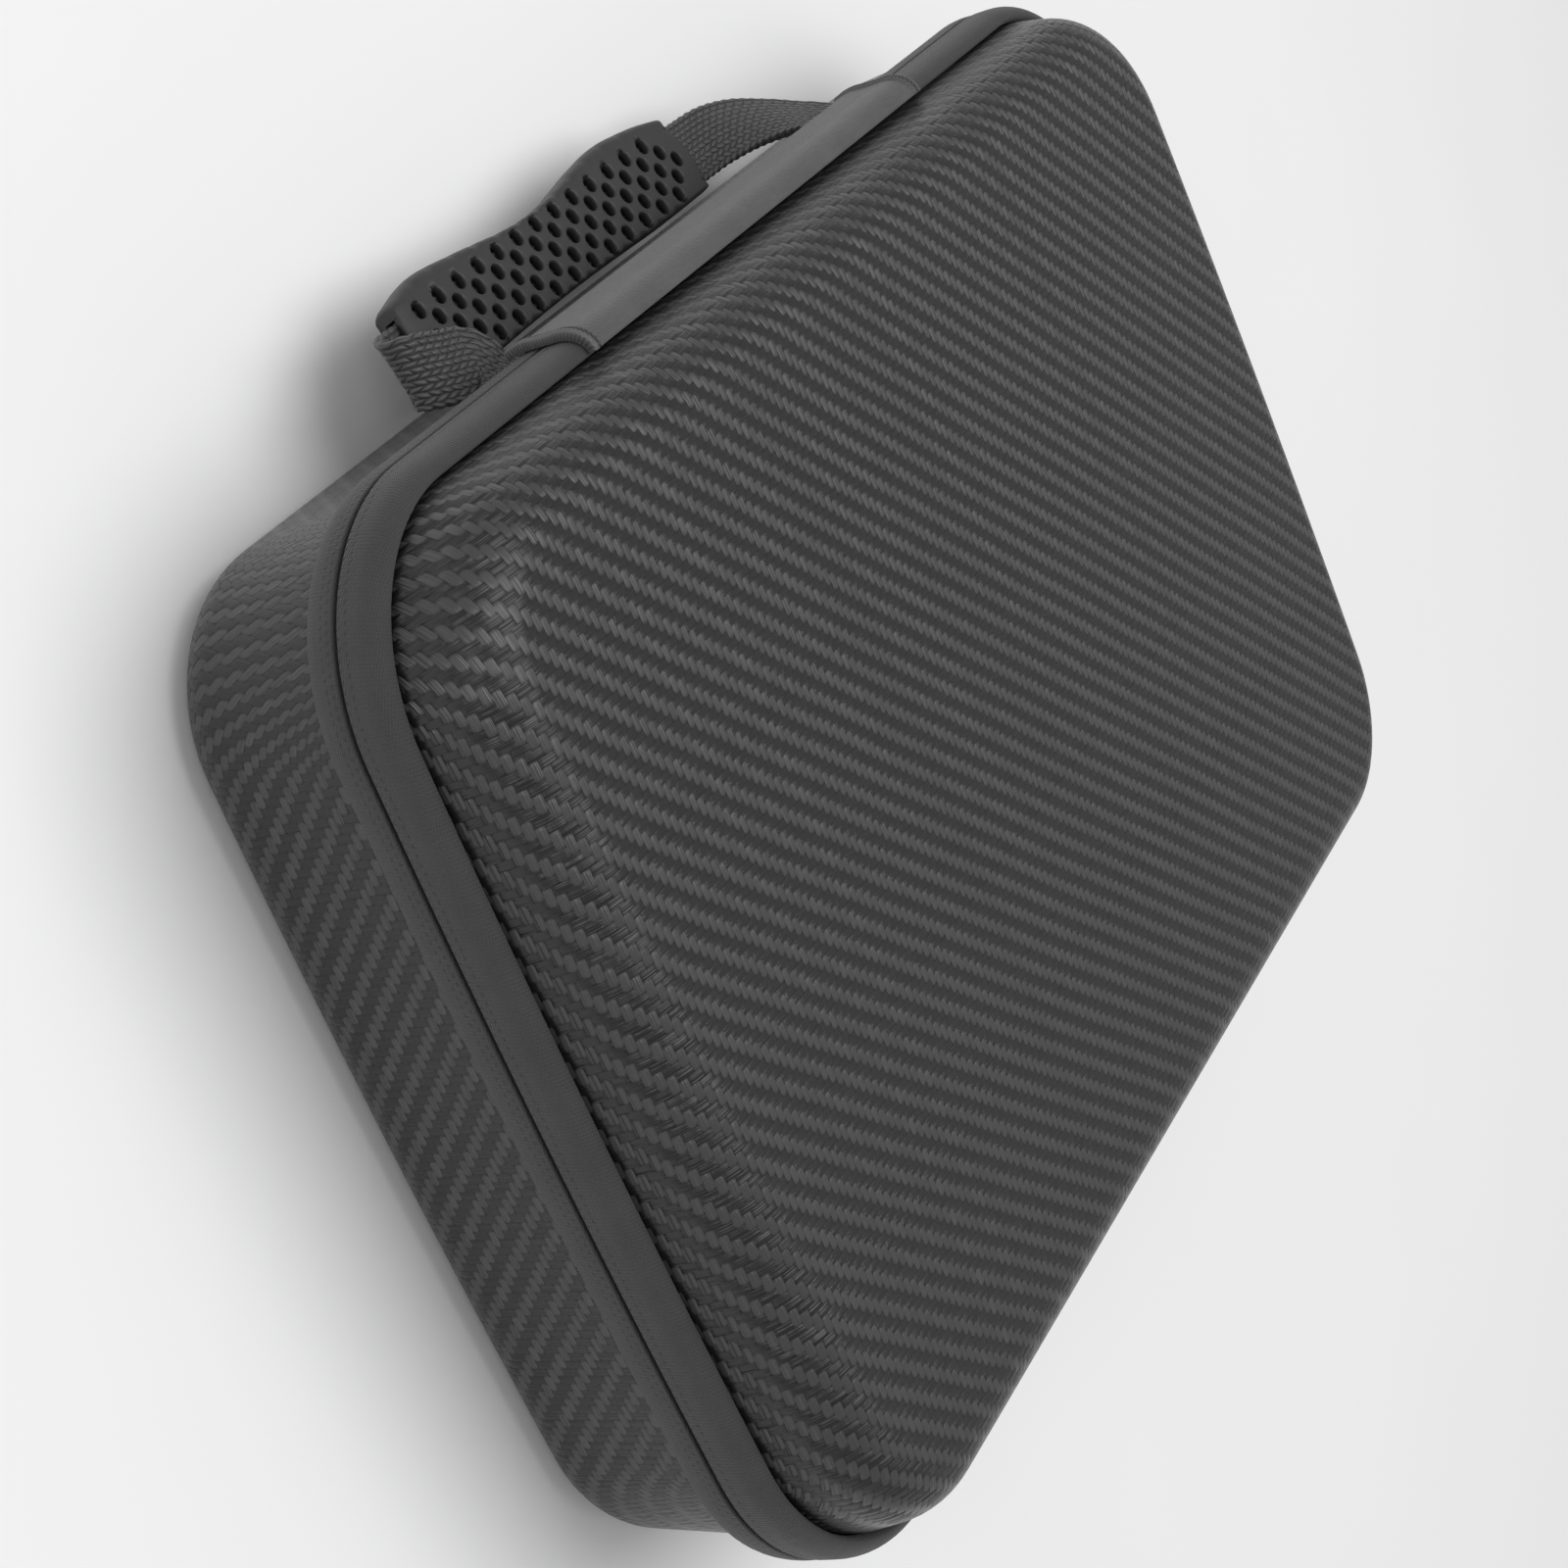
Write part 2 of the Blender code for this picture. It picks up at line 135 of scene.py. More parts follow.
# Outline of the grip, from its left end to its right end, in strap widths.
GRIP_OUTLINE = (
    # share of length, upper edge, lower edge
    (0.00, 0.64, 0.60),
    (0.05, 0.78, 0.61),
    (0.13, 0.86, 0.62),
    (0.25, 0.77, 0.60),
    (0.42, 0.61, 0.58),
    (0.55, 0.63, 0.58),
    (0.68, 0.78, 0.60),
    (0.78, 0.85, 0.62),
    (0.88, 0.79, 0.62),
    (0.95, 0.70, 0.61),
    (1.00, 0.61, 0.60),
)

# The grip's edge, from the holes' side of its margin round to its back.
GRIP_LIP = (
    # share of the margin, height above the middle in skins
    (0.0, 1.0),
    (0.35, 1.0),
    (0.60, 0.97),
    (0.80, 0.84),
    (0.93, 0.60),
    (0.985, 0.30),
    (1.0, 0.0),
    (0.985, -0.30),
    (0.93, -0.60),
    (0.80, -0.84),
    (0.60, -0.97),
)

# Zip slider and its pull. along: share of slider_length. tall: share of slider_width.
# near and far: distance out from the band, in slider_thickness.
SLIDER_STATIONS = (
    # along, tall, near, far
    (-0.50, 0.50, 0.00, 0.50),
    (-0.47, 0.80, 0.00, 0.80),
    (-0.38, 0.95, 0.00, 0.95),
    (-0.10, 1.00, 0.00, 1.00),
    (0.20, 0.98, 0.00, 1.00),
    (0.38, 0.88, 0.00, 0.94),
    (0.47, 0.70, 0.20, 0.88),
    (0.56, 0.54, 0.34, 0.86),
    (0.90, 0.56, 0.34, 0.86),
    (1.60, 0.66, 0.34, 0.86),
    (2.05, 0.70, 0.34, 0.86),
    (2.15, 0.62, 0.36, 0.84),
    (2.20, 0.40, 0.42, 0.78),
)


# Meshes


def new_piece(name, points, quads, uv=None, slots=None):
    """A mesh piece from point and quad arrays, with its own UV map in metres."""
    mesh = bpy.data.meshes.new(name)
    mesh.from_pydata(np.asarray(points, float).tolist(), [], np.asarray(quads).tolist())
    if uv is not None:
        corners = np.empty(len(mesh.loops), dtype=np.int32)
        mesh.loops.foreach_get("vertex_index", corners)
        layer = mesh.uv_layers.new(name="cloth")
        layer.data.foreach_set("uv", np.asarray(uv, np.float32)[corners].ravel())
    if slots is not None:
        mesh.polygons.foreach_set("material_index", np.asarray(slots, np.int32))
    mesh.shade_smooth()
    mesh.validate()
    piece = bpy.data.objects.new(name, mesh)
    bpy.context.scene.collection.objects.link(piece)
    return piece


def grid_quads(rows, columns, close_rows=False, close_columns=False):
    """Quads of a rows by columns grid of points, joined up at the ends where asked."""
    i = np.arange(rows if close_rows else rows - 1)
    j = np.arange(columns if close_columns else columns - 1)
    a, b = np.meshgrid(i, j, indexing="ij")
    c = (a + 1) % rows
    d = (b + 1) % columns
    corners = (a * columns + b, a * columns + d, c * columns + d, c * columns + b)
    return np.stack(corners, axis=-1).reshape(-1, 4)


def stations_round():
    """Stations once round the case: centre of curvature as signed shares, and direction.

    A corner's stations share one centre and turn by 90 degrees. A side's stations keep
    their direction while the centre slides from one corner's to the next.
    """
    centre_x, centre_y, turn = [], [], []
    corners = ((1, 1, 0), (-1, 1, 90), (-1, -1, 180), (1, -1, 270))
    corner_steps = 22
    side_steps = 30
    for index, (side_x, side_y, start) in enumerate(corners):
        after = corners[(index + 1) % 4]
        share = np.arange(corner_steps + 1) / corner_steps
        centre_x.append(np.full(corner_steps + 1, side_x, float))
        centre_y.append(np.full(corner_steps + 1, side_y, float))
        turn.append(start + 90 * share)
        share = np.arange(1, side_steps) / side_steps
        centre_x.append(side_x + (after[0] - side_x) * share)
        centre_y.append(side_y + (after[1] - side_y) * share)
        turn.append(np.full(side_steps - 1, start + 90.0))
    turn = np.radians(np.concatenate(turn))
    return np.concatenate(centre_x), np.concatenate(centre_y), np.cos(turn), np.sin(turn)


ROUND = stations_round()


def outline(inset):
    """Loops of the rounded rectangle at each inset, as (insets, stations, 2).

    x = centre_x (half_length - inset - r) + r cos t, y likewise, with r the corner
    radius less the inset; then x shrinks by end_bow (y / half_width) squared.
    """
    centre_x, centre_y, cos, sin = ROUND
    inset = np.asarray(inset, float)[:, None]
    radius = np.maximum(corner_radius - inset, 2 * MM)
    x = centre_x * (half_length - inset - radius) + radius * cos
    y = centre_y * (half_width - inset - radius) + radius * sin
    x = x * (1 - end_bow * (y / half_width) ** 2)
    return np.stack([x, y], axis=-1)


def perimeter():
    """Distance round the band's outline at each station, and the whole way round."""
    loop = outline([0.0])[0]
    step = np.linalg.norm(np.roll(loop, -1, axis=0) - loop, axis=1)
    return np.concatenate([[0.0], np.cumsum(step)[:-1]]), float(step.sum())


def ring_piece(name, section, uv_start=0.0):
    """A closed section of (inset, height) rows carried round the case.

    The UV is the distance round the case, and the distance along the section from its
    first row. The seam column is doubled, so that the pattern meets itself there.
    """
    section = np.asarray(section, float)
    loops = outline(section[:, 0])
    height = np.broadcast_to((zip_level + section[:, 1])[:, None], loops.shape[:2])
    points = np.concatenate([loops, height[..., None]], axis=-1)
    points = np.concatenate([points, points[:, :1]], axis=1)
    around, whole = perimeter()
    around = np.concatenate([around, [whole]])
    step = np.linalg.norm(np.diff(section, axis=0), axis=1)
    along = uv_start + np.concatenate([[0.0], np.cumsum(step)])
    u, v = np.meshgrid(around, along)
    rows, columns = u.shape
    quads = grid_quads(rows, columns, close_rows=True)
    piece = new_piece(name, points.reshape(-1, 3), quads, np.stack([u, v], -1).reshape(-1, 2))
    weld(piece)
    return piece


def weld(piece):
    """Merges the doubled seam of a piece, and turns its faces outwards."""
    body = bmesh.new()
    body.from_mesh(piece.data)
    bmesh.ops.remove_doubles(body, verts=body.verts, dist=0.002 * MM)
    bmesh.ops.recalc_face_normals(body, faces=body.faces)
    body.to_mesh(piece.data)
    body.free()
    piece.data.shade_smooth()


def rounded(rows, radius, steps=5):
    """A polyline whose inner corners are rounded off by quadratic arcs of that reach."""
    rows = np.asarray(rows, float)
    out = [rows[:1]]
    share = np.linspace(0, 1, steps + 1)[:, None]
    for before, at, after in zip(rows[:-2], rows[1:-1], rows[2:]):
        arm_in = before - at
        arm_out = after - at
        reach = min(radius, 0.45 * np.linalg.norm(arm_in), 0.45 * np.linalg.norm(arm_out))
        first = at + arm_in / np.linalg.norm(arm_in) * reach
        last = at + arm_out / np.linalg.norm(arm_out) * reach
        out.append((1 - share) ** 2 * first + 2 * share * (1 - share) * at + share**2 * last)
    out.append(rows[-1:])
    return np.concatenate(out)


# Shells


def wall_section(base_inset, top_inset, height, radius, straight, start, steps):
    """Rows (inset, rise) of a drafted wall: straight foot, slope, then a round edge."""
    draft = math.atan2(height - straight, top_inset - base_inset)
    centre_inset = top_inset + radius * math.tan(draft / 2)
    centre_rise = height - radius
    angle = draft * (1 - np.arange(steps + 1) / steps)
    inset = centre_inset - radius * np.sin(angle)
    rise = centre_rise + radius * np.cos(angle)
    foot_rise = np.linspace(start, straight, 4)
    foot = np.stack([np.full(4, base_inset), foot_rise], axis=1)
    share = np.linspace(0, 1, 7)[1:-1, None]
    slope = foot[-1] + (np.array([inset[0], rise[0]]) - foot[-1]) * share
    return np.concatenate([foot, slope, np.stack([inset, rise], axis=1)])


def shell_skin(edge_inset, edge_radius, height, straight, thickness):
    """Rows (inset, rise) of one face of the shell's wall, thickness further in."""
    start = coil_height / 2 + gap
    return wall_section(
        shell_inset + thickness,
        edge_inset + thickness,
        height - thickness,
        edge_radius - thickness,
        straight,
        start,
        16,
    )


def add_shell(name, edge_inset, edge_radius, height, straight, direction, crown):
    """One moulded shell: its outer skin, its rim and its lining.

    Each skin is its wall section carried round the outline, then the flat face as loops
    shrunk towards the middle, raised by crown times one minus the shrink squared. The UV
    is the flat sheet that the skin was pressed from: a wall point lies outside the face's
    edge by its distance along the wall, less so at the corners, where the sheet stretches.
    """
    cos, sin = ROUND[2:]
    count = len(cos)
    points, sheet, starts = [], [], []
    shrink = np.array([0.985, 0.96, 0.9, 0.8, 0.65, 0.45, 0.25, 0.08, 0.0])
    for thickness in (0.0, wall):
        rows = shell_skin(edge_inset, edge_radius, height, straight, thickness)
        loops = outline(rows[:, 0])
        rise = np.broadcast_to(rows[:, 1][:, None], loops.shape[:2])
        edge = loops[-1]
        step = np.linalg.norm(np.diff(rows, axis=0), axis=1)
        arc = np.concatenate([np.cumsum(step[::-1])[::-1], [0.0]])
        run = rows[-1, 0] - rows[:, 0]
        stretch = 1 - 0.55 * (2 * sin * cos)[None, :] ** 2
        reach = run[:, None] + (arc - run)[:, None] * stretch
        flat = edge[None] + np.stack([cos, sin], axis=-1)[None] * reach[..., None]
        bulge = crown * (1 - shrink**2) * (1 if thickness == 0.0 else 0.0)
        face = edge[None] * shrink[:, None, None]
        face_rise = np.broadcast_to((rows[-1, 1] + bulge)[:, None], face.shape[:2])
        skin = np.concatenate([loops, face])
        level = zip_level + direction * np.concatenate([rise, face_rise])
        points.append(np.concatenate([skin, level[..., None]], axis=-1))
        sheet.append(np.concatenate([flat, face]))
        starts.append(len(rows) + len(shrink))
    outer, inner = points
    points = np.concatenate([outer[::-1], inner])
    sheet = np.concatenate([sheet[0][::-1], sheet[1]])
    rows = len(points)
    quads = grid_quads(rows, count, close_columns=True)
    band = np.repeat(np.arange(rows - 1), count)
    slots = np.where(band < starts[0] - 1, 0, 1)
    piece = new_piece(name, points.reshape(-1, 3), quads, sheet.reshape(-1, 2), slots)
    weld(piece)
    return piece


# Zip band and hinge strip


def front_face_rows(steps=10):
    """Outer face of the front band, from the zip line up and over its roll."""
    rise = band_front * 0.55
    angle = np.radians(90) * np.arange(steps + 1) / steps
    roll = np.stack([band_roll * (1 - np.cos(angle)), band_front - rise + rise * np.sin(angle)], 1)
    foot = np.array([[0.35 * MM, zip_gap / 2], [0.06 * MM, zip_gap / 2 + 0.30 * MM]])
    foot = np.concatenate([foot, [[0.0, zip_gap / 2 + 0.9 * MM], [0.0, band_front * 0.3]]])
    return np.concatenate([foot, roll])


def rear_face_rows():
    """Outer face of the rear band, from its rear edge up to the zip line."""
    rows = [
        (band_rear_inset + 0.5 * MM, -band_rear),
        (band_rear_inset, -band_rear + 0.4 * MM),
        (band_rear_inset * 0.35, -band_rear * 0.72),
        (0.0, -band_rear * 0.40),
        (0.0, -zip_gap / 2 - 0.9 * MM),
        (0.06 * MM, -zip_gap / 2 - 0.30 * MM),
        (0.35 * MM, -zip_gap / 2),
    ]
    return rounded(rows, 0.8 * MM, 3)


def section_normals(rows):
    """Outward normals of a section's rows, from the slope on both sides of each."""
    along = np.gradient(rows, axis=0)
    along /= np.linalg.norm(along, axis=1)[:, None]
    return np.stack([-along[:, 1], along[:, 0]], axis=1)


def add_hinge_strip(name):
    """Fabric folded over the band at the hinge, with a double ridge at each hem.

    The band's section is pushed out by the strip's thickness, which swells at the hems
    as two bumps, and carried along the handle side. The UV is (x, distance over the fold).
    """
    rows = np.concatenate(
        [
            [(band_rear_inset, -band_rear), (band_rear_inset * 0.35, -band_rear * 0.72)],
            [(0.0, -band_rear * 0.40), (0.0, 0.0), (0.0, band_front * 0.3)],
            front_face_rows()[4:],
        ]
    )
    rows = rounded(rows, 0.6 * MM, 2)
    out = section_normals(rows)
    half = hinge_length / 2
    x = np.concatenate([[-half], -half + hem_length * np.linspace(0.04, 1.5, 30)])
    x = np.concatenate([x, np.linspace(-half + hem_length * 1.7, 0, 24)])
    x = np.concatenate([x, -x[-2::-1]])
    from_end = (half - np.abs(x)) / hem_length
    ridge = np.exp(-(((from_end - 0.3) / 0.17) ** 2)) + 0.9 * np.exp(-(((from_end - 0.78) / 0.16) ** 2))
    fold = 0.45 * np.exp(-((from_end / 0.35) ** 2))
    top = gap + hinge_thickness + hem_raise * np.minimum(ridge + fold, 1.05) - 0.25 * MM * (from_end < 0.02)
    run = np.concatenate([[0.0], np.cumsum(np.linalg.norm(np.diff(rows, axis=0), axis=1))])
    sag = 0.10 * MM * np.sin(TAU * run / run[-1] * 1.5)
    outer = rows[:, None, :] + out[:, None, :] * (top[None, :, None] + sag[:, None, None])
    inner = rows[:, None, :] + out[:, None, :] * np.full(len(x), gap)[None, :, None]
    section = np.concatenate([inner, outer[::-1]])
    place = np.empty(section.shape[:2] + (3,))
    place[..., 0] = x[None, :]
    place[..., 1] = half_width - section[..., 0]
    place[..., 2] = zip_level + section[..., 1]
    around = np.concatenate([run, run[::-1]])
    u, v = np.meshgrid(x, around)
    count = len(section)
    quads = grid_quads(count, len(x), close_rows=True)
    points = place.reshape(-1, 3)
    piece = new_piece(name, points, quads, np.stack([u, v], -1).reshape(-1, 2))
    close_ends(piece)
    return piece


def close_ends(piece):
    """Closes the open end loops of a tube with triangles, and turns its faces outwards."""
    body = bmesh.new()
    body.from_mesh(piece.data)
    body.verts.ensure_lookup_table()
    open_edges = [e for e in body.edges if e.is_boundary]
    made = bmesh.ops.holes_fill(body, edges=open_edges, sides=0)["faces"]
    bmesh.ops.triangulate(body, faces=made)
    bmesh.ops.recalc_face_normals(body, faces=body.faces)
    body.to_mesh(piece.data)
    body.free()
    piece.data.shade_smooth()


# Handle and slider


def smooth_track(values, steps):
    """Catmull-Rom curve through the rows, with steps between each pair of them.

    Between b and c it is (2 b + (c - a) u + (2 a - 5 b + 4 c - d) u^2
    + (3 b - a - 3 c + d) u^3) / 2, with a and d the rows before and after.
    """
    rows = np.asarray(values, float)
    padded = np.concatenate([2 * rows[:1] - rows[1:2], rows, 2 * rows[-1:] - rows[-2:-1]])
    a, b, c, d = padded[:-3], padded[1:-2], padded[2:-1], padded[3:]
    u = (np.arange(steps) / steps)[None, :, None]
    a, b, c, d = (k[:, None, :] for k in (a, b, c, d))
    curve = 2 * b + (c - a) * u + (2 * a - 5 * b + 4 * c - d) * u**2
    curve = 0.5 * (curve + (3 * b - a - 3 * c + d) * u**3)
    return np.concatenate([curve.reshape(-1, rows.shape[1]), rows[-1:]])


def strap_frames(steps):
    """Middle, direction of the upper edge and facing of the webbing, and its run."""
    table = np.array(STRAP_STATIONS)
    wall_y = half_width - shell_inset
    stations = np.column_stack(
        [
            table[:, 0] * strap_reach,
            wall_y + table[:, 1] * strap_width,
            zip_level - table[:, 2] * back_height,
            table[:, 3:],
        ]
    )
    track = smooth_track(stations, steps)
    middle = track[:, :3]
    travel = np.gradient(middle, axis=0)
    travel /= np.linalg.norm(travel, axis=1)[:, None]
    lean = track[:, 3:]
    lean = lean - travel * (lean * travel).sum(axis=1)[:, None]
    lean /= np.linalg.norm(lean, axis=1)[:, None]
    step = np.linalg.norm(np.diff(middle, axis=0), axis=1)
    run = np.concatenate([[0.0], np.cumsum(step)])
    return middle, lean, np.cross(travel, lean), run


def on_strap(s, t, n):
    """Points s along the webbing, t towards its upper edge and n off its face."""
    middle, lean, facing, run = strap_frames(24)
    place = np.zeros(np.shape(s) + (3,))
    for axis in range(3):
        place[..., axis] = np.interp(s, run, middle[:, axis])
        place[..., axis] += np.interp(s, run, lean[:, axis]) * t
        place[..., axis] += np.interp(s, run, facing[:, axis]) * n
    return place


def add_webbing(name):
    """The handle's webbing: a ribbon with thick, knotted edges carried along its path.

    Its section is a flat loop whose half thickness swells near both edges, and whose
    edges step in and out with each weft thread, as 0.12 mm times a sine along the run.
    """
    run = strap_frames(24)[3]
    s = np.linspace(0, run[-1], 640)
    across = np.array([0, 0.2, 0.4, 0.6, 0.75, 0.86, 0.93, 0.975, 1.0])
    thick = np.array([0.80, 0.80, 0.80, 0.80, 0.82, 0.95, 1.0, 0.86, 0.35])
    upper = np.concatenate([across, across[-2::-1]])
    half = np.concatenate([thick, -thick[-2::-1]])
    side = np.concatenate([upper, -upper[1:-1]])
    deep = np.concatenate([half, -thick[1:], thick[-2:0:-1]])
    knot = 0.12 * MM
    weft_pitch = 1.9 * MM
    reach = strap_width / 2 - knot + knot * np.sin(TAU * s / weft_pitch)
    t = side[:, None] * reach[None, :]
    n = deep[:, None] * np.full(len(s), strap_thickness / 2)[None, :]
    place = on_strap(np.broadcast_to(s, t.shape), t, n)
    u, v = np.meshgrid(s, side * strap_width / 2)
    quads = grid_quads(len(side), len(s), close_rows=True)
    uv = np.stack([u, v], -1).reshape(-1, 2)
    piece = new_piece(name, place.reshape(-1, 3), quads, uv)
    close_ends(piece)
    return piece


class GripSheet:
    """Collects the grip's patches, each a grid of (s, t, n) points, into one mesh."""

    def __init__(self):
        self.points = []
        self.quads = []
        self.count = 0

    def add(self, patch, quads=None):
        """Adds a (rows, columns, 3) patch, or one with quads of its own."""
        rows, columns = patch.shape[:2]
        quads = grid_quads(rows, columns) if quads is None else quads
        self.points.append(patch.reshape(-1, 3))
        self.quads.append(quads + self.count)
        self.count += rows * columns


def grip_cells():
    """Hole centres, in quarter pitches along and half rows across, staggered by row."""
    rows = (
        # row, first column, last column
        (-2, 0, 48),
        (-1, 2, 50),
        (0, 0, 52),
        (1, 2, 50),
        (2, 0, 48),
    )
    cells = []
    for row, start, end in rows:
        columns = np.arange(start, end + 1, 4)
        cells.append(np.column_stack([columns, np.full(len(columns), 2 * row)]))
    return np.concatenate(cells).astype(float)


def add_grip(name):
    """Rubber sleeve round the webbing, pierced through its front wall in staggered rows.

    Each hole is a fan of rings from a diamond round it in to its rim, over a small
    round, down its wall and out again on the inner face. The diamonds fill the front
    between two zigzag ends, and a C-shaped section carried along the run makes the rest.
    """
    step_s = hole_pitch / 4
    step_t = row_pitch / 2
    edge_t = 5 * step_t
    first, last = -3.0, 55.0
    start_s = first * step_s - grip_end_margin
    end_s = last * step_s + grip_end_margin * 0.4
    length = end_s - start_s
    slot = strap_thickness / 2 + gap
    skin = slot + grip_wall
    dense = smooth_track(GRIP_OUTLINE, 8)
    lip = np.array(GRIP_LIP)
    sheet = GripSheet()

    def run_at(i, t):
        """Distance along at column i: both ends are rounded off across the width."""
        inward = grip_end_round * (t / edge_t) ** 2
        low = np.clip((i + 1) / (first + 1), 0, 1)
        high = np.clip((i - 54) / (last - 54), 0, 1)
        left = start_s + inward * 0.5
        right = end_s - inward
        middle = i * step_s
        return middle + (left - middle) * low * (i < 0) + (right - middle) * high * (i > 54)

    def crown(s):
        """Gentle crown of the front: a little lower towards both ends."""
        share = np.clip((s - start_s) / length, 0, 1)
        from_end = np.minimum(share, 1 - share) * length
        return -0.55 * MM * np.exp(-((from_end / (2.2 * MM)) ** 2))

    # Hole cells: 24 points round, rings from the diamond in to the rim and through.
    cells = grip_cells()
    angle = np.arange(24) / 24 * TAU
    quarter = np.arange(24) / 6.0
    side = quarter % 4
    diamond_i = 2 * np.where(side < 2, 1 - side, side - 3)
    diamond_j = 2 * np.where(side < 1, side, np.where(side < 3, 2 - side, side - 4))
    spread_i = cells[:, :1] + diamond_i
    spread_j = np.clip(cells[:, 1:] + diamond_j, -5, 5)
    hole_s = cells[:, :1] * step_s
    hole_t = cells[:, 1:] * step_t
    rings = (
        # growth of the hole, depth below the skin, share towards the diamond
        (1.0, 0.00, 1.0),
        (1.22, 0.00, 0.0),
        (1.09, 0.05, 0.0),
        (1.0, 0.20, 0.0),
        (0.97, 0.55, 0.0),
        (0.95, 1.0 * grip_wall / MM, 0.0),
    )
    patch = []
    for growth, depth, share in rings:
        s = hole_s + growth * hole_length / 2 * np.cos(angle)
        t = hole_t + growth * hole_width / 2 * np.sin(angle)
        if share:
            t = spread_j * step_t
            s = run_at(spread_i, t)
        n = skin + crown(s) * (depth < 1) - depth * MM
        patch.append(np.stack([s, t, np.broadcast_to(n, s.shape)], -1))
    t = spread_j * step_t
    s = run_at(spread_i, t)
    patch.append(np.stack([s, t, np.full(s.shape, slot)], -1))
    patch = np.stack(patch, axis=1)
    for cell in patch:
        sheet.add(cell, grid_quads(len(rings) + 1, 24, close_columns=True))

    # Strips between the zigzag ends of the holes and the grip's own ends.
    j = np.linspace(-5, 5, 31)
    corner_j = np.arange(-5, 6)
    left = np.interp(j, corner_j, (-1, -2, -1, 0, -1, -2, -1, 0, -1, -2, -1))
    right = np.interp(j, corner_j, 54 - np.abs(corner_j))
    for edge, end in ((left, first), (right, last)):
        share = np.linspace(0, 1, 7)[:, None]
        i = end + (edge[None, :] - end) * share
        t = np.broadcast_to(j * step_t, i.shape)
        s = run_at(i, t)
        sheet.add(np.stack([s, t, skin + crown(s)], -1))
        sheet.add(np.stack([s, t, np.full(s.shape, slot)], -1))

    # Everything outside the holes: front margin, lip, back and slot, for both edges.
    i = np.linspace(first, last, int((last - first) * 3) + 1)
    dip = np.interp(np.mod(i, 4), [0, 1, 2, 3, 4], [0, 0, 1, 0, 0])
    zig = np.where((i >= -1) & (i <= 49), 5 - dip, 5.0)
    share = (i * step_s - start_s) / length
    top = zig * step_t
    for sign, column in ((1, 1), (-1, 2)):
        reach = np.interp(share, dense[:, 0], dense[:, column]) * strap_width
        t = sign * np.concatenate([top + (reach - top) * lip[:, :1], np.zeros((1, len(i)))])
        high = np.append(lip[:, 1], -1.0)[:, None]
        s = run_at(i[None], np.clip(t, -edge_t, edge_t))
        sheet.add(np.stack([s, t, high * (skin + crown(s))], -1))
        t = sign * np.stack([top, np.full(len(i), edge_t), np.zeros(len(i))])
        n = np.broadcast_to(np.array([slot, -slot, -slot])[:, None], t.shape)
        sheet.add(np.stack([run_at(i[None], t), t, n], -1))
        # End walls between the skin and the slot, on this half.
        for end, reach_end in ((first, reach[0]), (last, reach[-1])):
            across = edge_t * np.linspace(0, 1, 16)
            beyond = edge_t + (reach_end - edge_t) * lip[1:, 0]
            t = sign * np.concatenate([across, beyond, [0.0]])
            high = np.concatenate([np.ones(len(across)), lip[1:, 1], [-1.0]])
            inner_t = np.clip(t, -edge_t, edge_t)
            s = run_at(np.full(len(t), end), inner_t)
            outer = np.stack([s, t, high * (skin + crown(s))], -1)
            inner = np.stack([s, inner_t, high * slot], -1)
            sheet.add(np.stack([outer, inner]))

    points = np.concatenate(sheet.points)
    quads = np.concatenate(sheet.quads)
    run = strap_frames(24)[3]
    origin = run[-1] * grip_first_share - start_s
    place = on_strap(points[:, 0] + origin, points[:, 1], points[:, 2])
    piece = new_piece(name, place, quads, points[:, :2])
    weld(piece)
    return piece


def add_slider(name):
    """Zip slider and its flat pull: rounded sections carried along the zip.

    Each section is a superellipse |y|^4 + |z|^4 = 1 stretched to the station's sizes.
    """
    table = smooth_track(SLIDER_STATIONS, 5)
    angle = np.linspace(0, TAU, 33)[:-1]
    round_y = np.sign(np.cos(angle)) * np.abs(np.cos(angle)) ** 0.5
    round_z = np.sign(np.sin(angle)) * np.abs(np.sin(angle)) ** 0.5
    face_y = -half_width - gap
    middle = face_y - (table[:, 2] + table[:, 3]) / 2 * slider_thickness
    deep = (table[:, 3] - table[:, 2]) / 2 * slider_thickness
    tall = table[:, 1] * slider_width / 2
    x = np.broadcast_to((table[:, 0] * slider_length)[:, None], (len(table), len(angle)))
    y = middle[:, None] + deep[:, None] * round_y[None, :]
    z = zip_level + tall[:, None] * round_z[None, :]
    place = np.stack([x, y, z], -1)
    quads = grid_quads(len(table), len(angle), close_columns=True)
    uv = np.stack([x, z], -1).reshape(-1, 2)
    piece = new_piece(name, place.reshape(-1, 3), quads, uv)
    close_ends(piece)
    return piece


# Finishes


